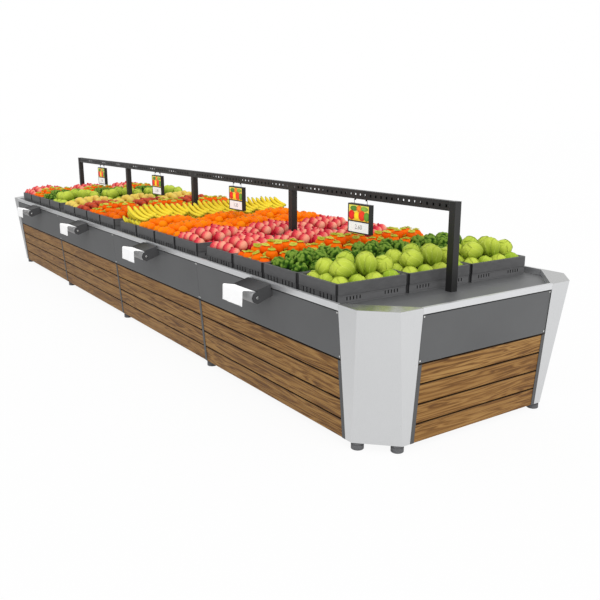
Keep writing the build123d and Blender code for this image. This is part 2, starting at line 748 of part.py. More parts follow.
# Every node of the assembly
nodes = {
    "base_frame": [base_frame()],
    "deck_frame": [deck_frame()],
    "uprights": uprights(),
    "post_sockets": [post_socket(x) for x in BAY_LINES],
    "levelling_feet": [levelling_foot(x, y) for x, y in all_feet()],
    "bay_trays": [bay_tray(x) for x in BAY_CENTRES],
    "front_panels": [front_panel(x) for x in BAY_CENTRES],
    "cover_strips": front_strips() + [to_rear(s) for s in front_strips()],
    "panel_screws": panel_screws(),
    "posts": [post(x) for x in BAY_LINES],
    "price_rails": [rail(x) for x in BAY_CENTRES],
    "rail_joiners": [rail_joiner(x) for x in BAY_LINES[1:-1]],
    "rail_brackets": [rail_bracket(), to_far(rail_bracket())],
}
nodes["end_tray_near"] = [end_tray()]
nodes["end_tray_far"] = [to_far(end_tray())]
nodes["rear_panels"] = [to_rear(panel) for panel in nodes["front_panels"]]
nodes["end_panel_near"] = [end_panel()]
nodes["end_panel_far"] = [to_far(end_panel())]
nodes["cover_strips"] += near_end_strips() + [to_far(s) for s in near_end_strips()]

column = corner_column()
nodes["corner_column_near_front"] = [column]
nodes["corner_column_near_rear"] = [to_rear(column)]
nodes["corner_column_far_front"] = [to_far(column)]
nodes["corner_column_far_rear"] = [to_far(to_rear(column))]

nodes["front_slats"] = [slat for x in BAY_CENTRES for slat in front_slats(x)]
nodes["rear_slats"] = [to_rear(slat) for slat in nodes["front_slats"]]
nodes["end_slats"] = near_end_slats() + [to_far(slat) for slat in near_end_slats()]

tag_places = [x + TAG_SHIFT for x in BAY_CENTRES]
nodes["tag_lugs"] = [tag_lug(x + side * LUG_REACH) for x in tag_places for side in (-1, 1)]
for number, x in enumerate(tag_places, 1):
    wires = [tag_wire(x + side * LUG_REACH, side) for side in (-1, 1)]
    nodes[f"tag_frame_{number}"] = [tag_frame(x)] + wires
    nodes[f"tag_cards_{number}"] = tag_cards(x)

hood_places = [x + HOOD_SHIFT for x in BAY_CENTRES]
nodes["bag_hoods"] = [bag_hood(x) for x in hood_places]
nodes["roll_axles"] = [roll_axle(x) for x in hood_places]
nodes["bag_tails"] = [bag_tail(x) for x in hood_places]
for number, x in enumerate(hood_places, 1):
    nodes[f"bag_roll_{number}"] = [bag_roll(x)]

for bay in range(BAYS):
    for row, name in ((-1, "front"), (1, "rear")):
        nodes[f"crates_{name}_{bay + 1}"] = crates(bay, row)
        nodes[f"produce_{name}_{bay + 1}"] = produce(bay, row)
nodes["crates_middle"] = [solid for bay in range(BAYS) for solid in crates(bay, 0)]
nodes["produce_middle"] = [solid for bay in range(BAYS) for solid in produce(bay, 0)]

# The origin lies on the floor in the middle of the whole footprint, the hanging bags included
PLAN_SHIFT = (TAIL_REACH + TAIL_SHEET - axle_centre()[0] - RIM_HALF_WIDTH) / 2

os.makedirs("parts", exist_ok=True)
for name, solids in nodes.items():
    group = [Pos(0, PLAN_SHIFT, 0) * piece for solid in solids for piece in solid.solids()]
    export_step(group[0] if len(group) == 1 else Compound(children=group), f"parts/{name}.step")
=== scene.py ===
from math import atan2, cos, exp, hypot, pi, radians, sin, tan
from random import Random

import bmesh
import bpy
from mathutils import Matrix, Vector


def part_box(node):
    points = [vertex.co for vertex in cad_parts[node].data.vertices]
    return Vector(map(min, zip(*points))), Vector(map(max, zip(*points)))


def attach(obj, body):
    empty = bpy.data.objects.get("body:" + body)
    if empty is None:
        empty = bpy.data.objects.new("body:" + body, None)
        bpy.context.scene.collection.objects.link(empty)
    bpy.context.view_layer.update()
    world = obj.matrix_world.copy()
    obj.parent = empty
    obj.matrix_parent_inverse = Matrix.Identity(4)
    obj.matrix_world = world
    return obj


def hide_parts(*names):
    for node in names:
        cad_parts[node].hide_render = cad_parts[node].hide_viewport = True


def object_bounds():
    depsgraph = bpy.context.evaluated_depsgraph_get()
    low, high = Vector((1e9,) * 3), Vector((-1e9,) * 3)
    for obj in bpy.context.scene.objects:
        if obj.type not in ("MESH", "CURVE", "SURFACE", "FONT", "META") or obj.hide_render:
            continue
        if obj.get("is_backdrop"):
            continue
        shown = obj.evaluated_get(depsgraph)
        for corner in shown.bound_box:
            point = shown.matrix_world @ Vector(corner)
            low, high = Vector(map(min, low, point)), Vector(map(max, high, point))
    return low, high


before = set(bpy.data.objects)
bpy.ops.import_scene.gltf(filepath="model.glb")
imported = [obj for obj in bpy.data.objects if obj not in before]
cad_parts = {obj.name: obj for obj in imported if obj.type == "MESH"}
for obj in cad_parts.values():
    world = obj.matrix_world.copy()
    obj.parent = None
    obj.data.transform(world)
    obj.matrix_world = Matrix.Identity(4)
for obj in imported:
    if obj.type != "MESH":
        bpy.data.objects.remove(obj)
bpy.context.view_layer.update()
scene = bpy.context.scene

# Feet: fourteen round rubber pads on studs, screwed into the channel ring under the stand.
# The rubber is moulded, matt and dark grey, with a groove round its upper half.
MIDDLE_Y = sum(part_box("posts"), Vector()).y / 2
BAY = 1.75
FOOT_RADIUS = 0.038
FOOT_HEIGHT = 0.0477
FOOT_GROOVE = (0.62 * FOOT_HEIGHT, 0.74 * FOOT_HEIGHT)
GROOVE_DEPTH = 0.0025
FOOT_ROUNDING = 0.004
CORNER_FOOT_X = 2 * BAY + 0.05
END_FOOT_Y = 0.595
TINY = 1e-5
NOISE_RANGE = (0.3, 0.7)


def paint(red, green, blue):
    """A colour by its 0 to 255 screen values, as the linear values that shaders take."""
    parts = [c / 255 for c in (red, green, blue)]
    return (*[c / 12.92 if c < 0.04 else ((c + 0.055) / 1.055) ** 2.4 for c in parts], 1)


def sum_of(operation, reflected=False):
    """An operator of Tone: one sum of two values, or the reflected form of it."""
    if reflected:
        return lambda tone, other: tone.finish.math(operation, other, tone)
    return lambda tone, other: tone.finish.math(operation, tone, other)


class Tone:
    """One value in a finish: a shader socket that can be used in sums."""

    def __init__(self, finish, socket):
        self.finish = finish
        self.socket = socket

    __add__ = __radd__ = sum_of("ADD")
    __sub__ = sum_of("SUBTRACT")
    __rsub__ = sum_of("SUBTRACT", reflected=True)
    __mul__ = __rmul__ = sum_of("MULTIPLY")
    __truediv__ = sum_of("DIVIDE")
    __rtruediv__ = sum_of("DIVIDE", reflected=True)
    __gt__ = sum_of("GREATER_THAN")
    __lt__ = sum_of("LESS_THAN")


class Finish:
    """Builds the nodes of one finish, or of the light behind the object."""

    def __init__(self, name, world=None):
        self.material = world or bpy.data.materials.new(name)
        self.material.use_nodes = True
        self.tree = self.material.node_tree
        self.shader = self.tree.nodes["Background" if world else "Principled BSDF"]

    def node(self, kind, settings=None, sockets=None, out=0):
        made = self.tree.nodes.new("ShaderNode" + kind)
        for name, value in (settings or {}).items():
            setattr(made, name, value)
        for key, value in (sockets or {}).items():
            self.feed(made.inputs, key, value)
        return Tone(self, self.find(made.outputs, out))

    def math(self, operation, *values):
        return self.node("Math", {"operation": operation}, dict(enumerate(values)))

    def find(self, sockets, key):
        if isinstance(key, int):
            return sockets[key]
        return next(s for s in sockets if key in (s.identifier, s.name))

    def feed(self, sockets, key, value):
        socket = self.find(sockets, key)
        if isinstance(value, Tone):
            self.tree.links.new(value.socket, socket)
        else:
            socket.default_value = value

    def shade(self, sockets):
        for key, value in sockets.items():
            self.feed(self.shader.inputs, key, value)

    def place(self, scale=(1, 1, 1)):
        where = self.node("TexCoord", out="Object")
        return self.node("Mapping", None, {"Vector": where, "Scale": scale})

    def axes(self, vector=None):
        vector = vector or self.node("TexCoord", out="Object")
        return [self.node("SeparateXYZ", None, {0: vector}, out) for out in "XYZ"]

    def noise(self, scale, detail=4, roughness=0.55, distortion=0, vector=None):
        sockets = {"Vector": vector or self.place(), "Scale": scale, "Detail": detail}
        sockets.update({"Roughness": roughness, "Distortion": distortion})
        return self.node("TexNoise", None, sockets, "Fac")

    def ramp(self, value, *stops):
        shade = self.node("ValToRGB", None, {"Fac": value}, "Color")
        elements = shade.socket.node.color_ramp.elements
        while len(elements) < len(stops):
            elements.new(1)
        for element, (position, colour) in zip(elements, stops):
            element.position = position
            element.color = colour
        return shade

    def level(self, value, low, high, start=0, stop=1):
        """A value stretched from low..high to start..stop and held there."""
        sockets = {"Value": value, "From Min": low, "From Max": high, "To Min": start, "To Max": stop}
        return self.node("MapRange", {"clamp": True}, sockets)

    def spread(self, noise, start=0, stop=1):
        """A noise stretched from the range that most of it keeps to."""
        return self.level(noise, *NOISE_RANGE, start, stop)

    def mix(self, mask, first, second, blend="MIX"):
        sockets = {"Factor_Float": mask, "A_Color": first, "B_Color": second}
        return self.node("Mix", {"data_type": "RGBA", "blend_type": blend}, sockets, "Result_Color")

    def colour(self, mask, first, second):
        self.shade({"Base Color": self.mix(mask, first, second)})

    def rough(self, noise, low, high):
        self.shade({"Roughness": self.spread(noise, low, high)})

    def bump(self, height, depth, strength=1):
        sockets = {"Height": height, "Distance": depth, "Strength": strength}
        self.shade({"Normal": self.node("Bump", None, sockets, "Normal")})

    def grain(self, scale, low, high):
        """The fine skin of a coat or a moulding: its roughness and its relief."""
        peel = self.noise(scale, 2)
        self.rough(peel, low, high)
        self.bump(peel, 0.0002, 0.5)
        return peel


def moved(*place):
    return Matrix.Translation(place)


def alone(piece):
    bpy.ops.object.select_all(action="DESELECT")
    piece.select_set(True)
    bpy.context.view_layer.objects.active = piece


def shape(add, **sizes):
    """A new piece made by one of the add operators, selected alone."""
    bpy.ops.object.select_all(action="DESELECT")
    add(**sizes)
    return bpy.context.object


def edit(piece):
    alone(piece)
    bpy.ops.object.mode_set(mode="EDIT")


def score(height):
    """Cuts, in edit mode, every face at a height."""
    bpy.ops.mesh.select_all(action="SELECT")
    bpy.ops.mesh.bisect(plane_co=(0, 0, height), plane_no=(0, 0, 1))


def swell(distance, even=False):
    """Draws the selected faces out along their normals, or in."""
    settings = {"value": distance, "use_even_offset": even}
    bpy.ops.mesh.extrude_region_shrink_fatten(TRANSFORM_OT_shrink_fatten=settings)


def pick(piece, test, edges=False):
    """Selects, in edit mode, the faces or edges whose middle and normal pass a test."""
    bpy.ops.mesh.select_mode(type="EDGE" if edges else "FACE")
    bpy.ops.mesh.select_all(action="DESELECT")
    parts = bmesh.from_edit_mesh(piece.data)
    for part in parts.edges if edges else parts.faces:
        middle = sum((v.co for v in part.verts), Vector()) / len(part.verts)
        part.select_set(bool(test(middle, part)))
    parts.select_flush_mode()
    bmesh.update_edit_mesh(piece.data)


def done(piece, smooth=None):
    bpy.ops.object.mode_set(mode="OBJECT")
    if smooth:
        alone(piece)
        bpy.ops.object.shade_smooth_by_angle(angle=radians(smooth))
    return piece


def copies(model, places):
    made = []
    for place in places:
        twin = bpy.data.objects.new(model.name, model.data.copy())
        twin.data.transform(place)
        scene.collection.objects.link(twin)
        made.append(twin)
    return made


def joined(pieces, name):
    alone(pieces[0])
    for piece in pieces:
        piece.select_set(True)
    bpy.ops.object.join()
    pieces[0].name = name
    pieces[0].data.name = name
    return pieces[0]


def clad(piece, *finishes):
    """Gives a piece its finishes, one to a slot."""
    piece.data.materials.clear()
    for finish in finishes:
        piece.data.materials.append(finish.material)
    return piece


def fit(piece, body, slot, *stands_for):
    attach(piece, body)
    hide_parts(*stands_for)


def foot_model():
    foot = shape(bpy.ops.mesh.primitive_cylinder_add, vertices=36, radius=FOOT_RADIUS, depth=FOOT_HEIGHT)
    foot.data.transform(moved(0, 0, FOOT_HEIGHT / 2))
    edit(foot)
    for height in FOOT_GROOVE:
        score(height)
    pick(foot, lambda m, f: FOOT_GROOVE[0] < m.z < FOOT_GROOVE[1])
    swell(-GROOVE_DEPTH)
    pick(foot, lambda m, e: not TINY < m.z < FOOT_HEIGHT - TINY and hypot(m.x, m.y) > 0.03, edges=True)
    bpy.ops.mesh.bevel(offset=FOOT_ROUNDING, segments=3)
    return done(foot, 35)


rubber = Finish("moulded_rubber")
speckle = rubber.noise(900)
rubber.colour(rubber.noise(25), paint(84, 84, 86), paint(106, 106, 108))
rubber.rough(speckle, 0.6, 0.8)
rubber.bump(speckle, 0.0004)
low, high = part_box("levelling_feet")
foot_y = (high.y - low.y) / 2 - FOOT_RADIUS
corner_feet = [(CORNER_FOOT_X, foot_y), (high.x - FOOT_RADIUS, END_FOOT_Y)]
foot_places = [(sx * x, sy * y) for x, y in corner_feet for sx in (-1, 1) for sy in (-1, 1)]
foot_places += [(x, sy * foot_y) for x in (-BAY, 0, BAY) for sy in (-1, 1)]
foot = clad(foot_model(), rubber)
feet = joined(copies(foot, [moved(x, y + MIDDLE_Y, 0) for x, y in foot_places]), "rubber_feet")
bpy.data.objects.remove(foot)
fit(feet, "stand", "foot_rubber", "levelling_feet")

# Frame: a channel ring on the feet, leaning tube uprights, a deck ring with beams, and post sockets.
# Welded mild steel under a thin grey coat; hidden by the cladding except from below.


def dress(finish, *names):
    for name in names:
        clad(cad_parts[name], finish)


coat = Finish("frame_coat")
drift = coat.noise(8, 6)
coat.colour(drift, paint(112, 114, 116), paint(138, 140, 142))
coat.rough(drift, 0.42, 0.6)
coat.shade({"Metallic": 0.3})
coat.bump(coat.noise(500), 0.0002)
dress(coat, "base_frame", "deck_frame", "uprights", "post_sockets", "rail_joiners")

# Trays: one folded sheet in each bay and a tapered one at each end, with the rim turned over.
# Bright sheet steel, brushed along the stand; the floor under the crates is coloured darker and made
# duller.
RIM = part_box("bay_trays")[1].z
TRAY_FLOOR = RIM - 0.039
CAP_FOLD = (RIM - 0.003, RIM - 0.001)


def new_steel(name, light, dark, stretch, metal, cap):
    """Brushed steel: with no cap it is a tray, darker and duller on its floor; a cap's top is painted
    darker as painted shade, and is smoother.
    """
    steel = Finish(name)
    _, _, height = steel.axes()
    # A tray's floor under the crates is made darker and rougher.
    graded = (height < TRAY_FLOOR) * (1 - cap)
    # The flat top of a column's cap is painted darker: painted shade standing in for the darker reflection
    # on it.
    top = steel.level(height, *CAP_FOLD) * cap
    brush = steel.noise(1, 5, 0.7, vector=steel.place(stretch))
    cloud = steel.noise(3, 3)
    plain = steel.mix(steel.level(brush * 0.7 + cloud * 0.3, 0.35, 0.65), dark, light)
    steel.colour(top, steel.mix(graded * 0.74, plain, paint(70, 71, 72)), paint(186, 187, 186))
    matt = steel.spread(brush, 0.27, 0.34) + 0.06 * (1 - cap)
    steel.shade({"Roughness": matt + graded * 0.16 - top * 0.1, "Metallic": metal})
    steel.bump(brush, 0.0001, 0.15)
    return steel


light, dark = paint(228, 229, 230), paint(218, 219, 221)
tray_steel = new_steel("brushed_tray_steel", light, dark, (4, 300, 300), 0.8, 0)
dress(tray_steel, "bay_trays", "end_tray_near", "end_tray_far")

# Corner columns: three facets folded from one sheet and drawn in towards the floor, under a flat cap.
# The same steel, brushed upwards.
light, dark = paint(216, 217, 218), paint(211, 212, 213)
column_steel = new_steel("brushed_column_steel", light, dark, (300, 300, 3), 0.85, 1)
columns = [f"corner_column_{end}_{side}" for end in ("near", "far") for side in ("front", "rear")]
dress(column_steel, *columns)

# Side panels: sheet pans screwed to the uprights above the slats; their top edge lies in the rim's shade.
# Steel with a mid-grey powder coat that has a fine orange-peel skin.
PANEL_LOW, PANEL_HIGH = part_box("front_panels")

powder = Finish("grey_powder_coat")
powder.grain(700, 0.42, 0.52)
sprayed = powder.mix(powder.spread(powder.noise(2)), paint(88, 89, 90), paint(94, 95, 96))
_, _, height = powder.axes()
# The top flange is painted near-black: a painted shadow of the gap under the rim.
painted_gap_shadow = powder.level(height, PANEL_HIGH.z - 0.003, PANEL_HIGH.z - 0.001)
powder.colour(painted_gap_shadow, sprayed, paint(24, 24, 24))
powder.shade({"Specular IOR Level": 0.3})
dress(powder, "front_panels", "rear_panels", "end_panel_near", "end_panel_far")

# Slats: four planed boards on each bay of the long sides and on each end.
# Oiled softwood with strong dark grain along the board; each board is cut from another stretch of wood.
SLAT_LOW, SLAT_HIGH = [corner.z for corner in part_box("front_slats")]
SLAT_GAP = 0.009
SLAT_PITCH = (SLAT_HIGH - SLAT_LOW + SLAT_GAP) / 4
SLAT_FACE = SLAT_PITCH - SLAT_GAP


def new_wood(name, along_y):
    wood = Finish(name)
    x, y, z = wood.axes()
    run = y if along_y else x
    side = (x > 0) if along_y else (y > MIDDLE_Y)
    climb = (z - SLAT_LOW) / SLAT_PITCH
    cut = wood.math("FLOOR", climb) * 3.71 + wood.math("FLOOR", x / BAY) * 7.93 + side * 5.57
    seat = wood.node("CombineXYZ", None, {"X": run * 0.8 + cut * 2.3, "Y": cut, "Z": z * 15 + cut * 1.7})
    swirl = wood.noise(1.6, 3, 0.5, 0.5, seat)
    rings = wood.math("SINE", (swirl * 5 + z * 22 + cut) * 9)
    fine = wood.node("CombineXYZ", None, {"X": run * 6 + cut, "Y": cut, "Z": z * 330})
    fibre = wood.noise(1, 4, 0.65, vector=fine)
    grain = wood.level(rings * 0.22 + swirl * 0.75 + fibre * 0.55, 0.28, 0.98)
    shade = wood.ramp(
        grain,
        (0, paint(80, 48, 16)),
        (0.3, paint(119, 81, 36)),
        (0.58, paint(146, 106, 54)),
        (1, paint(170, 130, 74)),
    )
    hue = wood.node("TexWhiteNoise", {"noise_dimensions": "1D"}, {"W": cut}, "Value")
    oiled = wood.mix(hue * 0.3, shade, paint(126, 84, 34))
    # A thin band at the top of each board's face is painted dark: painted shade that makes the gap above
    # it look wider.
    rise = wood.math("FRACT", climb) * SLAT_PITCH
    painted_gap_shade = wood.level(rise, SLAT_FACE - 0.005, SLAT_FACE - 0.002, 0, 0.85)
    wood.colour(painted_gap_shade, oiled, paint(38, 22, 8))
    wood.rough(fibre, 0.55, 0.42)
    wood.shade({"Specular IOR Level": 0.2})
    wood.bump(grain * 0.6 + fibre * 0.4, 0.0006, 0.5)
    return wood


dress(new_wood("slat_wood_long", False), "front_slats", "rear_slats")
dress(new_wood("slat_wood_end", True), "end_slats")

# Cover strips: flat bars over the ends of the slats.
# Steel under a grey matt coat.
strip = Finish("dark_strip_coat")
peel = strip.noise(600, 2)
strip.colour(peel, paint(70, 70, 71), paint(82, 82, 82))
strip.shade({"Roughness": 0.5})
strip.bump(peel, 0.0002, 0.5)
dress(strip, "cover_strips")

# Screws: forty bright pan heads with a round socket, at the corners of the grey panels.
# Zinc-plated steel, turned and pressed.
SCREW_RADIUS = 0.0055
SCREW_FLANGE = 0.0016
SCREW_DOME = 0.0012
SCREW_TAPER = 0.72
SCREW_LAND = 0.0016
SCREW_SOCKET = 0.0015
SCREW_EDGE = 0.008
SCREW_LEVELS = (PANEL_LOW.z + 0.014, PANEL_HIGH.z - SCREW_EDGE)
BAY_CENTRES = [BAY * (i - 1.5) for i in range(4)]
PANEL_GAP = 0.001
LEAN = radians(4.7)


def turned(angle, axis):
    return Matrix.Rotation(angle, 4, axis)


def extrude_up(distance):
    """Draws the selected faces up, or down."""
    bpy.ops.mesh.extrude_region_move(TRANSFORM_OT_translate={"value": (0, 0, distance)})


def screw_model():
    head = shape(bpy.ops.mesh.primitive_cylinder_add, vertices=12, radius=SCREW_RADIUS, depth=SCREW_FLANGE)
    head.data.transform(moved(0, 0, SCREW_FLANGE / 2))
    edit(head)
    pick(head, lambda m, f: f.normal.z > 0.9)
    extrude_up(SCREW_DOME)
    bpy.ops.transform.resize(value=(SCREW_TAPER, SCREW_TAPER, 1))
    bpy.ops.mesh.inset(thickness=SCREW_LAND)
    extrude_up(-SCREW_SOCKET)
    return done(head, 50)


def screw_seats():
    seats = []
    end_low, end_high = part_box("end_panel_near")
    for z in SCREW_LEVELS:
        inset = (PANEL_HIGH.z - z) * tan(LEAN)
        for centre in BAY_CENTRES:
            start = max(centre - BAY / 2 + PANEL_GAP, PANEL_LOW.x)
            stop = min(centre + BAY / 2 - PANEL_GAP, PANEL_HIGH.x)
            for x in (start + SCREW_EDGE, stop - SCREW_EDGE):
                seats += [(x, PANEL_LOW.y + inset, z, 0)]
                seats += [(x, 2 * MIDDLE_Y - PANEL_LOW.y - inset, z, 180)]
        for y in (end_low.y + SCREW_EDGE, end_high.y - SCREW_EDGE):
            seats += [(end_high.x - inset, y, z, 90), (inset - end_high.x, y, z, 270)]
    lying = turned(pi / 2 + LEAN, "X")
    return [moved(x, y, z) @ turned(radians(turn), "Z") @ lying for x, y, z, turn in seats]


zinc = Finish("zinc_plate")
cloud = zinc.noise(300)
zinc.colour(cloud, paint(215, 216, 214), paint(240, 240, 238))
zinc.rough(cloud, 0.2, 0.34)
zinc.shade({"Metallic": 1})
screw = clad(screw_model(), zinc)
screws = joined(copies(screw, screw_seats()), "pan_head_screws")
bpy.data.objects.remove(screw)
fit(screws, "stand", "screw_bright", "panel_screws")

# Posts and price rail: square tubes in the sockets carry a slotted box rail, held at its ends by brackets.
# Steel with a near-black powder coat; dust and handling leave it a little lighter in places.
black = Finish("black_powder_coat")
black.grain(800, 0.34, 0.46)
drift = black.noise(6, vector=black.place((1, 1, 0.4)))
black.colour(black.level(drift, 0.35, 0.7), paint(24, 24, 24), paint(38, 38, 37))
dress(black, "posts", "price_rails", "tag_lugs")
dress(zinc, "rail_brackets")

# Price tags: black moulded box frames on two bent wires, with a picture card above and a price card below.
# The cards are printed board: a simple pattern of round fruit and leaves, and plain figures.
BAY_NUMBERS = range(1, 5)
TAG_X = [x - 0.02 for x in BAY_CENTRES]
PICTURE_LOW, PICTURE_HIGH = 1.162, 1.271
PRICES = ("1.80", "2.40", "1.20", "2.60")
PRICE_LINE = 1.103
PRICE_SIZE = 0.046
CARD_FACE = 0.0171
WHITE = (1, 1, 1, 1)

tag_coat = Finish("black_tag_plastic")
tag_coat.colour(tag_coat.grain(700, 0.35, 0.5), paint(24, 24, 25), paint(36, 36, 37))
dress(tag_coat, *[f"tag_frame_{n}" for n in BAY_NUMBERS])

card = Finish("printed_card")
x, _, z = card.axes()
across = card.math("WRAP", x - TAG_X[0], BAY / 2, -BAY / 2)
up = z - (PICTURE_LOW + PICTURE_HIGH) / 2
fade = card.level(up + card.noise(30, 3) * 0.03, -0.04, 0.07)
picture = card.mix(fade, paint(244, 186, 40), paint(226, 226, 96))
printed_spots = (  # each has its middle, its half sizes and its colour
    (-0.078, -0.018, 0.036, 0.034, paint(222, 32, 20)),
    (-0.02, -0.022, 0.031, 0.03, paint(254, 212, 20)),
    (0.036, -0.016, 0.038, 0.036, paint(230, 54, 22)),
    (0.088, -0.02, 0.03, 0.032, paint(96, 150, 44)),
    (-0.052, 0.03, 0.042, 0.018, paint(74, 128, 40)),
    (0.006, 0.03, 0.03, 0.024, paint(236, 128, 26)),
    (0.062, 0.032, 0.04, 0.016, paint(126, 170, 58)),
)
for spot_x, spot_z, half_x, half_z, colour in printed_spots:
    aside, above = across - spot_x, up - spot_z
    reach = aside * aside / half_x**2 + above * above / half_z**2
    lit = card.level(reach + aside * 6 - above * 9, 0, 1, 1.3, 0.75)
    toned = card.mix(1, colour, lit, "MULTIPLY")
    picture = card.mix(card.level(reach, 0.94, 1.06, 1, 0), picture, toned)
fibre = card.noise(500, 3)
blank = card.mix(fibre, paint(238, 247, 250), paint(245, 252, 254))
printed = z > PICTURE_LOW - 0.004
card.colour(printed, blank, picture)
# The card glows with its own colours: painted light that keeps it bright where it stands in shade.
card.shade({"Roughness": 0.5, "Emission Strength": 0.28})
card.shade({"Emission Color": card.mix(printed, WHITE, picture)})
card.bump(fibre, 0.0001, 0.4)
dress(card, *[f"tag_cards_{n}" for n in BAY_NUMBERS])

ink = Finish("grey_ink")
ink.colour(ink.noise(400), paint(120, 122, 126), paint(146, 148, 150))
ink.shade({"Roughness": 0.6})
for number, x, price in zip(BAY_NUMBERS, TAG_X, PRICES):
    prints = []
    for turn, y in ((0, MIDDLE_Y - CARD_FACE), (pi, MIDDLE_Y + CARD_FACE)):
        figures = shape(bpy.ops.object.text_add, location=(x, y, PRICE_LINE), rotation=(pi / 2, 0, turn))
        figures.data.body = price
        figures.data.size = PRICE_SIZE
        figures.data.align_x = "CENTER"
        figures.data.extrude = 0.0001
        figures.data.resolution_u = 3
        bpy.ops.object.convert(target="MESH")
        figures = bpy.context.object
        figures.data.transform(figures.matrix_world)
        figures.matrix_world = Matrix.Identity(4)
        prints.append(clad(figures, ink))
    printed = joined(prints, f"price_figures_{number}")
    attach(printed, f"tag_{number}")

# Bag dispensers: a folded hood with two cheeks on the panel, an axle through them, a roll of bags.
# Dark coated steel, a bright turned axle, and a thin white film whose next bag hangs in front of the roll.
HOOD_X = [x + 0.052 for x in BAY_CENTRES]
HOOD_HALF = 0.136
ROLL_RADIUS = 0.039
ROLL_HALF = 0.128
ROLL_END_RINGS = (0.002, 0.0285, 0.0015)
ROLL_BORE = 0.02
ROLL_ROUNDING = 0.0012
AXLE = sum(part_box("bag_roll_1"), Vector()) / 2
AXLE_RADIUS = 0.006
AXLE_HEAD_RADIUS = 0.009
AXLE_END = HOOD_HALF + 0.004
AXLE_ROUNDING = 0.0018

hood = Finish("dark_hood_coat")
hood.grain(700, 0.36, 0.48)
x, _, _ = hood.axes()
# The hood is painted dark at its -X end and lighter towards +X: a painted reflection along its top.
across = hood.math("WRAP", x - HOOD_X[0], BAY / 2, -BAY / 2)
graded = hood.level(across + hood.noise(12, 3) * 0.04, -0.13, 0.1)
hood.colour(graded, paint(28, 28, 29), paint(72, 72, 73))
hood.shade({"Specular IOR Level": 0.05})
dress(hood, "bag_hoods")


def along_x(radius, start, stop, sides):
    rod = shape(bpy.ops.mesh.primitive_cylinder_add, vertices=sides, radius=radius, depth=stop - start)
    rod.data.transform(moved((start + stop) / 2, 0, 0) @ turned(pi / 2, "Y"))
    return rod


def on_roll_edge(middle, _):
    return abs(abs(middle.x) - ROLL_HALF) < TINY and abs(hypot(middle.y, middle.z) - ROLL_RADIUS) < 2e-4


def roll_model():
    roll = along_x(ROLL_RADIUS, -ROLL_HALF, ROLL_HALF, 40)
    edit(roll)
    pick(roll, lambda m, f: abs(f.normal.x) > 0.9)
    for width in ROLL_END_RINGS:
        bpy.ops.mesh.inset(thickness=width)
    pick(roll, lambda m, f: abs(f.normal.x) > 0.9 and hypot(m.y, m.z) < 0.001)
    swell(-ROLL_BORE)
    pick(roll, on_roll_edge, edges=True)
    bpy.ops.mesh.bevel(offset=ROLL_ROUNDING, segments=2)
    return done(roll, 40)


# The wound film is the white film painted grey: painted shade, as the roll sits under the hood and the
# drawn-out bag.
wound = Finish("wound_film")
lay = wound.noise(6, vector=wound.place((60, 1, 1)))
wound.colour(wound.spread(lay), paint(136, 137, 138), paint(160, 161, 162))
wound.rough(lay, 0.3, 0.42)
wound.bump(lay, 0.0006, 0.4)
roll = clad(roll_model(), wound)
for number, x in zip(BAY_NUMBERS, HOOD_X):
    piece = joined(copies(roll, [moved(x, AXLE.y, AXLE.z)]), f"film_roll_{number}")
    fit(piece, f"roll_{number}", "bag_white", f"bag_roll_{number}")
bpy.data.objects.remove(roll)


def on_head_edge(middle, _):
    return middle.x > AXLE_END - 0.001 and hypot(middle.y, middle.z) > AXLE_HEAD_RADIUS - 0.001


def axle_model(x):
    rods = [along_x(AXLE_RADIUS, -HOOD_HALF, HOOD_HALF, 24)]
    for turn in (pi, 0):
        head = along_x(AXLE_HEAD_RADIUS, HOOD_HALF, AXLE_END, 24)
        edit(head)
        pick(head, on_head_edge, edges=True)
        bpy.ops.mesh.bevel(offset=AXLE_ROUNDING, segments=3)
        done(head)
        head.data.transform(turned(turn, "Z"))
        rods.append(head)
    for rod in rods:
        rod.data.transform(moved(x, AXLE.y, AXLE.z))
        clad(rod, zinc)
    return rods


axles = joined([rod for x in HOOD_X for rod in axle_model(x)], "turned_axles")
fit(done(axles, 40), "stand", "axle_bright", "roll_axles")

# The drawn-out bag runs from the roll's top to a crest, bends there and hangs down to its foot.
# Its points are (forward, up) from the axle.
TAIL_WIDTH = 0.254
TAIL_LEAVE = Vector((0.0105, 0.0395))
TAIL_CREST = Vector((0.1015, 0.0585))
TAIL_FOOT = Vector((0.1045, -0.0445))
TAIL_BEND = 0.014
TAIL_LOOSE = 0.45
FILM = 0.0005
rise = TAIL_CREST - TAIL_LEAVE
fall = TAIL_FOOT - TAIL_CREST
before = TAIL_CREST - rise.normalized() * TAIL_BEND
after = TAIL_CREST + fall.normalized() * TAIL_BEND

film = Finish("white_film")
crease = film.noise(40, 4, 0.6, 0.8, film.place((1, 1, 0.35)))
film.colour(film.spread(crease), paint(249, 249, 250), paint(255, 255, 255))
film.rough(crease, 0.3, 0.45)
film.bump(crease, 0.001, 0.3)
# The film glows: painted light, full white where it lies over the roll in the hood's shade and faint where
# it hangs.
_, y, _ = film.axes()
lying = film.level(y, AXLE.y - TAIL_CREST.x, AXLE.y - TAIL_CREST.x + TAIL_BEND)
film.shade({"Emission Color": film.mix(lying, (0.25, 0.25, 0.25, 1), WHITE), "Emission Strength": 0.36})


def thicken(sheet, thickness):
    sheet.modifiers.new("thick", "SOLIDIFY").thickness = thickness
    alone(sheet)
    bpy.ops.object.modifier_apply(modifier="thick")
    return sheet


def tail_path(share):
    """(forward, up) from the axle, a share of the way along the film from the roll to its foot."""
    t = share * (rise.length + fall.length)
    if t < rise.length - TAIL_BEND:
        return TAIL_LEAVE + rise.normalized() * t
    if t > rise.length + TAIL_BEND:
        return TAIL_CREST + fall.normalized() * (t - rise.length)
    bend = (t - rise.length + TAIL_BEND) / (2 * TAIL_BEND)
    return before * (1 - bend) ** 2 + TAIL_CREST * 2 * bend * (1 - bend) + after * bend**2


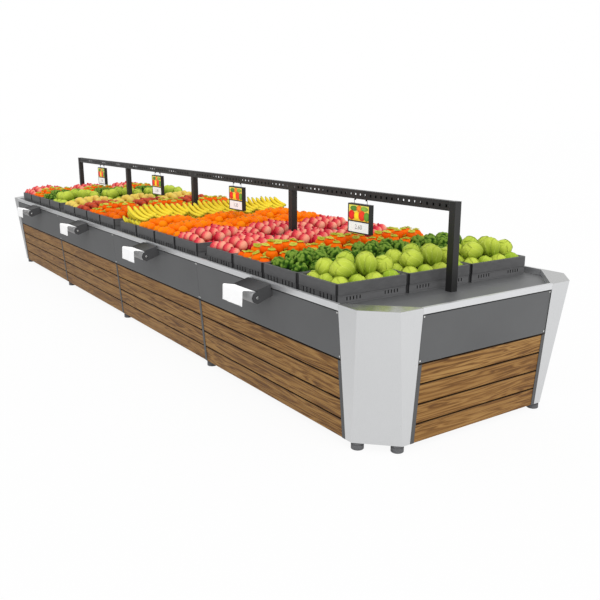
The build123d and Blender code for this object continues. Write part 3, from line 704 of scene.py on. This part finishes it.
for number, x in zip(BAY_NUMBERS, HOOD_X):
    phase = Random(40 + number).uniform(0, 6)
    tail = shape(bpy.ops.mesh.primitive_grid_add, x_subdivisions=28, y_subdivisions=26, size=1)
    for vertex in tail.data.vertices:
        s = vertex.co.x * TAIL_WIDTH
        share = vertex.co.y + 0.5
        forward, up = tail_path(share)
        loose = max(0, share - TAIL_LOOSE) / (1 - TAIL_LOOSE)
        forward += loose * (0.0015 * sin(s * 34 + phase) + 0.001 * sin(s * 75 + share * 6 + phase * 2))
        vertex.co = (x + s, AXLE.y - forward, AXLE.z + up)
    clad(thicken(tail, FILM), film)
    bpy.ops.object.shade_smooth()
    tail.name = f"film_tail_{number}"
    fit(tail, "stand", "bag_white", "bag_tails")

# Crates: shallow stacking crates, four to a bay in each of three rows.
# Moulded dark-grey plastic with a proud upper band, ribs round the lower half and groups of vents.
CRATE_X, CRATE_Y, CRATE_Z = 0.395, 0.533, 0.122
CRATE_STEP = 0.056
CRATE_WALL = 0.004
CRATE_RIBS = ((0.012, 0.015), (0.046, 0.049))
RIB_RISE = 0.0018
CRATE_ROUNDING = 0.0012
INNER_X = CRATE_X / 2 - 2 * CRATE_WALL
INNER_Y = CRATE_Y / 2 - 2 * CRATE_WALL
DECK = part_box("crates_middle")[0].z
END_VENT = (0.0075, 0.021)
END_VENT_MIDDLE = (0.143, 0.032)
END_VENT_PITCH = 0.024
SIDE_VENT = (0.009, 0.035)
SIDE_VENT_FIRST = (0.031, 0.0375)
SIDE_VENT_PITCH = 0.036
THROUGH = 0.1
CORNER = (0.014, 0.009)
CRATE_PITCH = 0.401
CRATE_SHIFT = -0.018
ROW_PITCH = 0.543


def crate_cutters():
    """Boxes that cut the vents, in two groups on each wall, and the recessed corners."""
    boxes = []
    y, z = END_VENT_MIDDLE
    for group in (-y, y):
        for k in (-2, -1, 0, 1, 2):
            boxes.append(((0, group + k * END_VENT_PITCH, z), (CRATE_X + THROUGH, *END_VENT)))
    first, z = SIDE_VENT_FIRST
    for k in range(4):
        x = first + SIDE_VENT_PITCH * k
        for side in (-x, x):
            boxes.append(((side, 0, z), (SIDE_VENT[0], CRATE_Y + THROUGH, SIDE_VENT[1])))
    for x in (-CRATE_X / 2, CRATE_X / 2):
        for y in (-CRATE_Y / 2, CRATE_Y / 2):
            boxes.append(((x, y, CRATE_Z / 2), (2 * CORNER[0], 2 * CORNER[1], CRATE_Z + 0.02)))
    cutters = []
    for middle, size in boxes:
        cutter = shape(bpy.ops.mesh.primitive_cube_add, size=1)
        cutter.data.transform(moved(*middle) @ Matrix.Diagonal((*size, 1)))
        cutters.append(cutter)
    return joined(cutters, "crate_cutters")


def crate_model():
    crate = shape(bpy.ops.mesh.primitive_cube_add, size=1)
    size = (CRATE_X - 2 * CRATE_WALL, CRATE_Y - 2 * CRATE_WALL, CRATE_Z)
    crate.data.transform(moved(0, 0, CRATE_Z / 2) @ Matrix.Diagonal((*size, 1)))
    edit(crate)
    for height in (*CRATE_RIBS[0], *CRATE_RIBS[1], CRATE_STEP):
        score(height)
    pick(crate, lambda m, f: abs(f.normal.z) < 0.1 and m.z > CRATE_STEP)
    swell(CRATE_WALL, even=True)
    for low, high in CRATE_RIBS:
        pick(crate, lambda m, f: abs(f.normal.z) < 0.1 and low < m.z < high)
        swell(RIB_RISE, even=True)
    pick(crate, lambda m, f: f.normal.z > 0.9 and m.z > CRATE_Z - 1e-4 and abs(m.x) + abs(m.y) < 0.01)
    bpy.ops.mesh.inset(thickness=2 * CRATE_WALL + CORNER[1])
    extrude_up(CRATE_WALL - CRATE_Z)
    done(crate)
    cutters = crate_cutters()
    vents = crate.modifiers.new("vents", "BOOLEAN")
    vents.object = cutters
    vents.solver = "EXACT"
    soften = crate.modifiers.new("soften", "BEVEL")
    soften.width = CRATE_ROUNDING
    soften.segments = 1
    soften.limit_method = "ANGLE"
    alone(crate)
    bpy.ops.object.modifier_apply(modifier="vents")
    bpy.ops.object.modifier_apply(modifier="soften")
    bpy.data.objects.remove(cutters)
    return crate


plastic = Finish("grey_crate_plastic")
scuff = plastic.noise(18, 6, 0.65, vector=plastic.place((1, 1, 3)))
moulded = plastic.mix(plastic.level(scuff, 0.35, 0.7), paint(80, 80, 81), paint(93, 93, 94))
_, _, height = plastic.axes()
# Below the step the moulding is painted lighter: painted light that lifts the shade under the proud band.
low_half = plastic.level(height - DECK, CRATE_STEP - 0.003, CRATE_STEP, 0.6, 0)
plastic.colour(low_half, moulded, paint(104, 104, 105))
plastic.rough(scuff, 0.5, 0.64)
plastic.bump(plastic.noise(450, 2), 0.0003, 0.4)

inside = Finish("crate_inside")
_, _, height = inside.axes()
# The inside walls and floor are painted near-black low down: painted shade under the produce.
lit = inside.level(height - DECK + inside.noise(30) * 0.01, 0.06, 0.1)
inside.colour(lit, paint(14, 14, 14), paint(78, 78, 79))
inside.shade({"Roughness": 0.6})

# The recessed corners are painted a flat dark grey: painted shade in the gaps between crates.
recess = Finish("crate_recess_shade")
recess.colour(recess.noise(30), paint(34, 34, 35), paint(44, 44, 45))
recess.shade({"Roughness": 0.7})


def crate_places(bay, row):
    """Middles of the crate floors of one bay in one row; row -1 is the front, 1 the rear."""
    middle = BAY_CENTRES[bay] + CRATE_SHIFT
    y = MIDDLE_Y + row * ROW_PITCH
    return [Vector((middle + (i - 1.5) * CRATE_PITCH, y, DECK)) for i in range(4)]


ROWS = [
    (f"{side}_row_{n}", f"{side}_{n}", f"{side}_{n}", n - 1, row)
    for side, row in (("front", -1), ("rear", 1))
    for n in BAY_NUMBERS
]
ROWS += [("stand", f"middle_{n}", "middle", n - 1, 0) for n in BAY_NUMBERS]

crate = clad(crate_model(), plastic, inside, recess)
for face in crate.data.polygons:
    across, along = abs(face.center.x), abs(face.center.y)
    if CRATE_X / 2 - across < CORNER[0] + 0.001 and CRATE_Y / 2 - along < CORNER[1] + 0.001:
        face.material_index = 2
    elif across < INNER_X + 0.001 and along < INNER_Y + 0.001 and 0.003 < face.center.z < CRATE_Z - 0.001:
        face.material_index = 1
for body, name, node, bay, row in ROWS:
    set_down = [moved(*place) for place in crate_places(bay, row)]
    fit(joined(copies(crate, set_down), f"vented_crates_{name}"), body, "crate_grey", f"crates_{node}")
bpy.data.objects.remove(crate)

# Produce: each crate is heaped with one kind of fruit or vegetable, the same kind across the three rows.
# Every fruit is its own closed body; it keeps a tone of its own and its own measure of place for its skin.


def remember(fruit, size, places=None):
    """Gives each point its place on the fruit and a tone, for the skin's pattern."""
    own = fruit.data.attributes.new("own", "FLOAT_VECTOR", "POINT")
    for value, place in zip(own.data, places or [vertex.co / size for vertex in fruit.data.vertices]):
        value.vector = place
    fruit.data.attributes.new("tone", "FLOAT", "POINT")
    return fruit


def ball(radius, squat=1, dimple=0, segments=12, rings=8):
    fruit = shape(bpy.ops.mesh.primitive_uv_sphere_add, segments=segments, ring_count=rings, radius=radius)
    for vertex in fruit.data.vertices:
        near = exp(-((hypot(vertex.co.x, vertex.co.y) / (0.4 * radius)) ** 2))
        vertex.co.z *= squat
        vertex.co.z -= dimple * radius * near * (1 if vertex.co.z > 0 else -0.5)
    bpy.ops.object.shade_smooth()
    return remember(fruit, radius)


def skin(name):
    finish = Finish(name)
    finish.shade({"Specular IOR Level": 0.06})
    tone = finish.node("Attribute", {"attribute_name": "tone"}, None, "Fac")
    own = finish.node("Attribute", {"attribute_name": "own"}, None, "Vector")
    return finish, tone, own


# Oranges, mandarins and persimmons: smooth round fruit.
# A persimmon carries a flat green cap of four lobes.
ORANGE_RADIUS = 0.0415
PERSIMMON_RADIUS = 0.042
CAP_RADIUS = 0.031
CAP_LOBE = (1.08, 0.0395)
CAP_NOTCH = (0.92, 0.0365)
CAP_THICKNESS = 0.0045
CAP_TAPER = 0.86
STALK_INSET = 0.014
STALK_RISE = 0.006


def new_orange(name, light, deep, eye):
    finish, tone, own = skin(name)
    _, _, z = finish.axes(own)
    pore = finish.noise(380, 2)
    peel = finish.mix(finish.level(tone * 0.7 + finish.noise(22, 3) * 0.5, 0.25, 0.9), light, deep)
    finish.colour(finish.level(z, 0.93, 0.99), peel, eye)
    finish.rough(pore, 0.35, 0.5)
    finish.bump(pore, 0.0012, 0.35)
    return finish


peel = new_orange("orange_peel", paint(250, 140, 2), paint(248, 117, 0), paint(120, 96, 30))
orange = clad(ball(ORANGE_RADIUS), peel)
peel = new_orange("mandarin_peel", paint(236, 112, 2), paint(224, 89, 0), paint(110, 84, 26))
mandarin = clad(ball(ORANGE_RADIUS), peel)

green, tone, _ = skin("green_cap")
vein = green.noise(90)
dry = green.level(vein * 0.6 + tone * 0.5, 0.25, 0.85)
green.colour(dry, paint(172, 176, 50), paint(210, 208, 86))
green.shade({"Roughness": 0.55})
green.bump(vein, 0.001, 0.4)


def face_out():
    """Turns, in edit mode, every face outward."""
    bpy.ops.mesh.select_all(action="SELECT")
    bpy.ops.mesh.normals_make_consistent(inside=False)


def persimmon_model():
    peel = new_orange("persimmon_skin", paint(250, 117, 0), paint(243, 91, 0), paint(150, 150, 50))
    fruit = clad(ball(PERSIMMON_RADIUS, 0.97, 0.12), peel)
    cap = shape(bpy.ops.mesh.primitive_circle_add, vertices=12, radius=CAP_RADIUS, fill_type="NGON")
    for k, vertex in enumerate(cap.data.vertices):
        reach, height = CAP_LOBE if k % 3 == 1 else CAP_NOTCH
        vertex.co *= reach
        vertex.co.z = height
    edit(cap)
    bpy.ops.mesh.select_all(action="SELECT")
    extrude_up(CAP_THICKNESS)
    bpy.ops.transform.resize(value=(CAP_TAPER, CAP_TAPER, 1))
    bpy.ops.mesh.inset(thickness=STALK_INSET)
    extrude_up(STALK_RISE)
    face_out()
    done(cap, 40)
    return joined([fruit, clad(remember(cap, PERSIMMON_RADIUS), green)], "persimmon")


persimmon = persimmon_model()

# Pomegranates, dark-red apples and pale pears: rounded fruit, deeper in colour on one side, which is
# partly their own blush and partly painted shade.
# A pomegranate keeps a short open crown.
POMEGRANATE_RADIUS = 0.0455
APPLE_RADIUS = 0.039
PEAR_RADIUS = 0.04


def new_blushed(name, pale, blush, deep, lit):
    """A skin that is deep on one side of the fruit and pale on the other: the fruit's own blush, turned
    the same way in every fruit as painted shade.
    """
    finish, tone, own = skin(name)
    stretched = finish.node("VectorMath", {"operation": "MULTIPLY"}, {0: own, 1: (5, 5, 1.4)})
    streak = finish.noise(1.6, vector=stretched)
    # Every fruit is painted deep on the side that faces the way lit, the same in each: painted shade over
    # the fruit's own blush.
    facing = finish.node("VectorMath", {"operation": "DOT_PRODUCT"}, {0: own, 1: lit}, "Value")
    side = finish.level(facing + (streak - 0.5) * 0.9 + tone * 0.25, -0.28, 0.88)
    finish.shade({"Base Color": finish.ramp(side, (0, pale), (0.45, blush), (1, deep))})
    finish.rough(streak, 0.3, 0.45)
    finish.bump(finish.noise(200), 0.0006, 0.3)
    return finish


def pomegranate_model():
    fruit = ball(POMEGRANATE_RADIUS, 0.96, 0.05)
    crown = shape(bpy.ops.mesh.primitive_cone_add, vertices=6, radius1=0.006, radius2=0.011, depth=0.014)
    edit(crown)
    pick(crown, lambda m, f: f.normal.z > 0.9)
    bpy.ops.mesh.inset(thickness=0.003)
    extrude_up(-0.008)
    done(crown, 40)
    crown.data.transform(turned(radians(-42), "Y") @ moved(0, 0, 0.047))
    whole = joined([fruit, remember(crown, POMEGRANATE_RADIUS)], "pomegranate")
    tones = (paint(250, 170, 142), paint(232, 80, 87), paint(184, 5, 44))
    return clad(whole, new_blushed("pomegranate_skin", *tones, (-0.62, -0.7, 0.2)))


pink = pomegranate_model()
tones = (paint(198, 80, 48), paint(162, 52, 36), paint(114, 27, 20))
red = clad(ball(APPLE_RADIUS, 0.95, 0.16), new_blushed("red_skin", *tones, (-0.5, -0.5, -0.4)))
tones = (paint(232, 202, 92), paint(228, 202, 104), paint(214, 170, 78))
pear = clad(ball(PEAR_RADIUS, 1.2, 0.06), new_blushed("pear_skin", *tones, (0.5, -0.5, -0.4)))

# Cabbages: a tight head wrapped in broad leaves, each a thin curved sheet with pale veins.
# A ring of leaves is its size, first turn, half width, and where the leaves start and stop, in degrees.
CABBAGE_RADIUS = 0.065
CABBAGE_RINGS = ((1, 0.4, 0.95, -55, 78), (1.02, 1.5, 0.9, -70, 38))
LEAF = 0.0018

leaves, tone, own = skin("cabbage_leaf")
x, y, z = leaves.axes(own)
bent = leaves.noise(2.2, 3, vector=own)
ribs = leaves.math("SINE", leaves.math("ARCTAN2", y, x) * 11 + bent * 6)
cells = {"Vector": own, "Scale": 6.5}
net = leaves.node("TexVoronoi", {"feature": "DISTANCE_TO_EDGE"}, cells, "Distance")
vein = leaves.level(ribs, 0.9, 1, 0, 0.6) + leaves.level(net, 0, 0.035, 0.35, 0)
# Each head is painted darker towards its own bottom and paler towards its top: painted shade.
flesh = leaves.level(z + bent * 0.5, -0.7, 0.8)
flesh = leaves.mix(flesh, paint(124, 150, 28), paint(191, 207, 75))
ripe = leaves.mix(leaves.level(tone, 0.55, 1, 0, 0.7), flesh, paint(130, 172, 30))
leaves.colour(vein * 0.55, ripe, paint(222, 232, 130))
leaves.rough(bent, 0.36, 0.5)
leaves.bump(vein, 0.0015, 0.4)


def leaf(radius, turn, width, start, stop):
    sheet = shape(bpy.ops.mesh.primitive_grid_add, x_subdivisions=8, y_subdivisions=7, size=2)
    for vertex in sheet.data.vertices:
        s, t = vertex.co.x, (vertex.co.y + 1) / 2
        rise = start + (stop - start) * (t - 0.12 * s * s * t)
        spread = width * (0.45 + 0.55 * sin(pi * min(1, 0.25 + t * 0.62)))
        angle = turn + s * spread
        out = radius * (1.01 + 0.035 * t * t + 0.03 * s * s * t + 0.01 * sin(7 * s + 5 * t + turn))
        vertex.co = (out * cos(rise) * cos(angle), out * cos(rise) * sin(angle), out * sin(rise))
    edit(thicken(sheet, LEAF))
    face_out()
    done(sheet)
    bpy.ops.object.shade_smooth()
    return remember(sheet, radius)


def cabbage_model():
    parts = [ball(CABBAGE_RADIUS, 1, 0, 20, 14)]
    for size, first, width, start, stop in CABBAGE_RINGS:
        for turn in (first, first + 2.09, first + 4.18):
            parts.append(leaf(CABBAGE_RADIUS * size, turn, width, radians(start), radians(stop)))
    return joined([clad(part, leaves) for part in parts], "cabbage")


def tumbled(random, tip):
    """A turn at random: tipped either way about X and Y, and any way round."""
    tipped = turned(random.uniform(-tip, tip), "X") @ turned(random.uniform(-tip, tip), "Y")
    return tipped @ turned(random.uniform(0, 6.28), "Z")


def cabbage_places(random):
    """A low ring round the crate, three large heads on the near side and three behind them."""
    low, small = CRATE_Z - 0.034, (0.9, 0.9, 0.9)
    spots = [(x, y, low, small) for x in (-0.11, 0.125) for y in (-0.195, -0.066, 0.064, 0.192)]
    spots += [(0.008, y, low, small) for y in (-0.195, 0.192)]
    spots += [
        (0.06, -0.12, 0.177, (0.98, 1.24, 0.9)),
        (0.062, 0.052, 0.18, (0.98, 0.95, 1.08)),
        (0.06, 0.19, 0.166, small),
        (-0.07, -0.155, 0.168, (0.86, 0.9, 0.86)),
        (-0.075, 0, 0.188, (0.88, 0.88, 0.9)),
        (-0.07, 0.155, 0.175, small),
    ]
    return [moved(x, y, z) @ Matrix.Diagonal((*size, 1)) @ tumbled(random, 0.9) for x, y, z, size in spots]


cabbage = cabbage_model()

# Broccoli: tight heads of round florets on a short stalk.
# Each head is one body swollen round the middle of every floret, with painted shade between them and
# painted light on top.
HEAD_RADIUS = 0.052
FLORETS = 44
FLORET_REACH = 0.31
GOLDEN_TURN = 2.39996

buds, tone, own = skin("broccoli_buds")
bud = buds.node("TexVoronoi", None, {"Vector": buds.place(), "Scale": 210}, "Distance")
patch = buds.noise(34)
swollen = buds.node("VectorMath", {"operation": "LENGTH"}, {0: own}, "Value")
_, _, height = buds.axes(own)
# Low between florets and between buds the colour is painted dark, as painted shade; the swollen tops and
# the top of the head are painted paler, as painted light.
shade = buds.ramp(
    buds.level(swollen + (patch - 0.5) * 0.5 + tone * 0.08 + height * 0.05, 0.98, 1.24),
    (0, paint(12, 30, 6)),
    (0.4, paint(42, 78, 16)),
    (0.75, paint(72, 110, 27)),
    (1, paint(130, 161, 62)),
)
buds.colour(buds.level(bud, 0.3, 0.85, 0, 0.4), shade, paint(26, 56, 14))
buds.shade({"Roughness": 0.7})
buds.bump(bud, 0.003, 0.6)


def broccoli_model():
    random = Random(7)
    middles = []
    for k in range(FLORETS):
        level = 1 - 2 * (k + 0.5) / FLORETS
        turn = k * GOLDEN_TURN + random.uniform(-0.35, 0.35)
        across = (1 - level**2) ** 0.5
        middles.append(Vector((cos(turn) * across, sin(turn) * across, level)))
    head = shape(bpy.ops.mesh.primitive_ico_sphere_add, subdivisions=4, radius=HEAD_RADIUS)
    for vertex in head.data.vertices:
        way = vertex.co.normalized()
        apart = min(way.angle(middle) for middle in middles)
        swollen = max(0, 1 - (apart / FLORET_REACH) ** 2) ** 0.5
        ragged = sin(way.x * 5 + 1) * sin(way.y * 6 + 2) * sin(way.z * 5)
        vertex.co *= 0.98 + 0.22 * swollen + 0.1 * ragged
    bpy.ops.object.shade_smooth()
    stalk = shape(bpy.ops.mesh.primitive_cone_add, vertices=10, radius1=0.02, radius2=0.034, depth=0.05)
    stalk.data.transform(moved(0, 0, -0.055))
    bpy.ops.object.shade_smooth()
    return joined([clad(remember(part, HEAD_RADIUS), buds) for part in (head, stalk)], "broccoli")


def broccoli_places(random):
    """A low layer of twelve heads and six on top of it."""
    spots = [(x, y, -0.008) for x in (-0.118, 0, 0.118) for y in (-0.192, -0.064, 0.064, 0.192)]
    spots += [(x, y, 0.042) for x in (-0.058, 0.062) for y in (-0.125, 0, 0.125)]
    places = []
    for x, y, level in spots:
        turn = tumbled(random, 0.4)
        size = Matrix.Scale(random.uniform(0.84, 1), 4)
        places.append(moved(x, y, CRATE_Z + level + random.uniform(-0.01, 0.01)) @ turn @ size)
    return places


broccoli = broccoli_model()

# Bananas: hands of bent six-sided fingers that join at a short crown, with their tips up.
# A skin's own measure of place is how far out a point lies on the bend and how far along the finger.
BANANA_RADIUS = 0.0185
BANANA_BEND = 0.2
BANANA_SWEEPS = (1.25, 1.07, 0.9, 0.75)
BANANA_FAN = radians(-4)

rind, tone, own = skin("banana_skin")
out, _, along = rind.axes(own)
fleck = rind.noise(120, 5, 0.7)
peel = rind.mix(rind.level(fleck + tone * 0.3, 0.3, 0.9), paint(244, 228, 78), paint(238, 212, 44))
# The outer curve of each finger is painted dark olive: painted shade between the fingers of a hand.
peel = rind.mix(rind.level(out, 0.25, 1, 0, 0.74), peel, paint(126, 108, 20))
peel = rind.mix(rind.level(along, 0, 0.12, 0.8, 0), peel, paint(150, 152, 40))
peel = rind.mix(rind.level(along, 0.86, 0.98, 0, 0.7), peel, paint(196, 200, 70))
rind.colour(rind.level(along, 0.975, 0.995), peel, paint(120, 104, 44))
rind.rough(fleck, 0.38, 0.5)
rind.bump(fleck, 0.0008, 0.3)


def finger(sweep):
    """One banana: a ring spun round from the crown through an angle, slimmed at both ends and closed."""
    fruit = shape(bpy.ops.mesh.primitive_circle_add, vertices=6, radius=BANANA_RADIUS)
    fruit.data.transform(moved(BANANA_BEND, 0, 0) @ turned(pi / 2, "X"))
    edit(fruit)
    bpy.ops.mesh.select_all(action="SELECT")
    bpy.ops.mesh.spin(steps=8, angle=sweep, center=(0, 0, 0), axis=(0, 0, 1))
    done(fruit)
    places = []
    for vertex in fruit.data.vertices:
        outward = (hypot(vertex.co.x, vertex.co.y) - BANANA_BEND) / BANANA_RADIUS
        angle = atan2(vertex.co.y, vertex.co.x)
        share = abs(angle) / sweep
        places.append((outward, 0, share))
        middle = Vector((BANANA_BEND * cos(angle), BANANA_BEND * sin(angle), 0))
        slim = min(0.55 + 3.2 * share, 1, 0.36 + 4.6 * (1 - share))
        vertex.co = middle + (vertex.co - middle) * slim
    edit(fruit)
    bpy.ops.mesh.select_mode(type="EDGE")
    bpy.ops.mesh.select_all(action="DESELECT")
    bpy.ops.mesh.select_non_manifold()
    bpy.ops.mesh.edge_face_add()
    face_out()
    done(fruit)
    bpy.ops.object.shade_smooth()
    return clad(remember(fruit, 1, places), rind)


def hand_model():
    """Four nested fingers, the outer one longest; each runs out towards -Y and curls up to its tip."""
    fingers = []
    for k, sweep in enumerate(BANANA_SWEEPS):
        one = finger(sweep)
        way = 1 if max(v.co.y for v in one.data.vertices) > 0.05 else -1
        flat = turned(pi / 2, "Z") @ Matrix.Diagonal((1, way, 1, 1))
        upright = turned(pi / 2, "Z") @ turned(-pi / 2, "X") @ flat
        nod = turned(BANANA_FAN * k, "X") @ moved(0, 0, BANANA_BEND)
        fan = turned(BANANA_FAN * k, "Z") @ nod
        one.data.transform(moved(-0.03 * k, 0.019 * k, 0.012 * k) @ fan @ upright)
        fingers.append(one)
    hand = joined(fingers, "banana_hand")
    edit(hand)
    face_out()
    return done(hand)


def banana_places(random):
    """Hands in three steps that fall towards the far side, one along the front edge, and a low filling."""
    spots = [(0.15, y, 0.034, -34) for y in (-0.128, 0.045, 0.205)]
    spots += [(0.045, y, -0.015, -34) for y in (-0.075, 0.08, 0.19)]
    spots += [(-0.045, y, -0.045, -14) for y in (-0.04, 0.08, 0.19)]
    spots += [(0, -0.105, -0.08, -34)]
    spots += [(x, y, -0.1, -5) for x in (0.145, 0.06, -0.035) for y in (-0.05, 0.06, 0.18)]
    spots += [(0.095, 0.205, -0.03, -34), (-0.045, -0.07, -0.09, -5)]
    places = []
    for x, y, level, turn in spots:
        where = (x + random.uniform(-0.008, 0.008), y, CRATE_Z + level + random.uniform(-0.006, 0.006))
        facing = turned(radians(turn) + random.uniform(-0.12, 0.12), "Z")
        places.append(moved(*where) @ facing @ Matrix.Scale(random.uniform(0.96, 1.03), 4))
    return places


banana = hand_model()

# Heaps: each crate gets its crop, from the far end of the stand to the near end.
# A round crop has its model, the radius and rise of its heap, and how far it tilts and turns.
CROPS = (
    ("pink", "persimmon", "broccoli", "cabbage"),
    ("pear", "red", "persimmon", "mandarin"),
    ("banana", "orange", "orange", "pink"),
    ("pink", "persimmon", "broccoli", "cabbage"),
)
ROUND = {
    "pink": (pink, POMEGRANATE_RADIUS, 0.08, 0.3, 0.35),
    "persimmon": (persimmon, PERSIMMON_RADIUS, 0.08, 0.5, pi),
    "pear": (pear, 0.042, 0.078, 1.2, pi),
    "red": (red, APPLE_RADIUS, 0.072, 0.5, 0.6),
    "orange": (orange, ORANGE_RADIUS, 0.08, 1.5, pi),
    "mandarin": (mandarin, ORANGE_RADIUS, 0.074, 1.5, pi),
}
OTHER = {
    "cabbage": (cabbage, cabbage_places),
    "broccoli": (broccoli, broccoli_places),
    "banana": (banana, banana_places),
}
HEAP_PITCH = (1.9, 1.72)
HEAP_FALL = 2.6
HEAP_SQUAT = 0.95
STRAY = 0.12


def heaped(random, radius, rise, tilt, spin):
    """Places of round fruit over a mound: staggered rows, two deep, low along the crate's rim."""
    places = []
    half_x = INNER_X - radius
    half_y = INNER_Y - radius
    columns = int(2 * half_x / (HEAP_PITCH[0] * radius)) + 1
    rows = int(2 * half_y / (HEAP_PITCH[1] * radius)) + 1
    for depth in (0, 1):
        for j in range(rows):
            stagger = 0.5 if (j + depth) % 2 else 0
            for i in range(columns - (1 if stagger else 0)):
                x = half_x * (2 * (i + stagger) / (columns - 1) - 1)
                y = half_y * (2 * j / (rows - 1) - 1)
                crown = (1 - abs(x / INNER_X) ** HEAP_FALL) * (1 - abs(y / INNER_Y) ** HEAP_FALL)
                z = CRATE_Z - 0.6 * radius + rise * crown - 1.1 * radius * depth
                x += random.uniform(-STRAY, STRAY) * radius
                y += random.uniform(-STRAY, STRAY) * radius
                z += random.uniform(-STRAY, 2 * STRAY) * radius
                lean = turned(random.uniform(-tilt, tilt), "X")
                turn = turned(random.uniform(-spin, spin), "Z") @ lean
                size = Matrix.Diagonal((1, 1, HEAP_SQUAT, 1)) @ Matrix.Scale(random.uniform(0.93, 1.04), 4)
                places.append(moved(x, y, z) @ turn @ size)
    return places


def filled(model, places, random):
    made = copies(model, places)
    for fruit in made:
        tone = fruit.data.attributes["tone"].data
        tone.foreach_set("value", [random.random()] * len(tone))
    return made


for body, name, node, bay, row in ROWS:
    fruits = []
    for place, crop in zip(crate_places(bay, row), CROPS[bay]):
        random = Random(crop)
        if crop in ROUND:
            model, *mound = ROUND[crop]
            spots = heaped(random, *mound)
        else:
            model, choose = OTHER[crop]
            spots = choose(random)
        fruits += filled(model, [moved(*place) @ spot for spot in spots], random)
    fit(joined(fruits, f"heaped_produce_{name}"), body, "produce", f"produce_{node}")
for model, *_ in (*ROUND.values(), *OTHER.values()):
    bpy.data.objects.remove(model)

# Studio: a white floor that keeps a soft shadow, white all round, one wide soft sun and the camera.
# The camera stands off the near front corner a little above the rail.
YAW, PITCH = radians(34.3068), radians(13.6746)


def sight(finish):
    """Two masks: rays that come from the camera, straight or through a film, and rays from a mirror."""
    kinds = ("Camera", "Glossy", "Transmission")
    straight, glossy, through = [finish.node("LightPath", None, None, f"Is {kind} Ray") for kind in kinds]
    return finish.math("MINIMUM", straight + through, 1), glossy


floor = shape(bpy.ops.mesh.primitive_plane_add, size=400)
floor.name = "studio_floor"
floor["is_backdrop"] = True
pale = Finish("studio_white")
seen, glossy = sight(pale)
x, y, _ = pale.axes()
shine = pale.level(x, -6, 6, 0.5, 1)
past_end = pale.level(pale.math("ABSOLUTE", x + 0.12), 3.45, 3.6)
past_side = pale.level(pale.math("ABSOLUTE", y - MIDDLE_Y - 0.17), 0.6, 0.7)
bare = (seen * 0.93 + glossy) * pale.math("MAXIMUM", past_end, past_side)
pale.shade({"Base Color": (0.86, 0.86, 0.86, 1), "Roughness": 0.9, "Specular IOR Level": 0})
glow = pale.node("Emission", None, {"Color": WHITE, "Strength": seen + glossy * shine})
shadowed = Tone(pale, pale.shader.outputs[0])
cover = pale.node("MixShader", None, {"Fac": bare, 1: shadowed, 2: glow})
pale.tree.links.new(cover.socket, pale.tree.nodes["Material Output"].inputs["Surface"])
clad(floor, pale)

scene.world = bpy.data.worlds.new("studio_light")
sky = Finish("studio_light", scene.world)
seen, glossy = sight(sky)
sky.shade({"Color": WHITE, "Strength": seen * 0.25 + glossy * 0.04 + 0.75})

sun = bpy.data.objects.new("soft_sun", bpy.data.lights.new("soft_sun", "SUN"))
sun.data.energy = 1.45
sun.data.angle = radians(50)
camera = bpy.data.objects.new("camera", bpy.data.cameras.new("camera"))
camera.location = (6.5573, -3.2106 + MIDDLE_Y, 1.8231)
camera.data.sensor_width = 36
camera.data.lens = 43.394
camera.data.clip_end = 600
sunward = Vector((-0.88, 0.25, -1))
view = Vector((-cos(YAW) * cos(PITCH), sin(YAW) * cos(PITCH), -sin(PITCH)))
for item, way in ((sun, sunward), (camera, view)):
    scene.collection.objects.link(item)
    item.rotation_mode = "QUATERNION"
    item.rotation_quaternion = way.to_track_quat("-Z", "Y")
scene.camera = camera
scene.view_settings.view_transform = "Standard"

bpy.context.view_layer.update()
low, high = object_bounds()
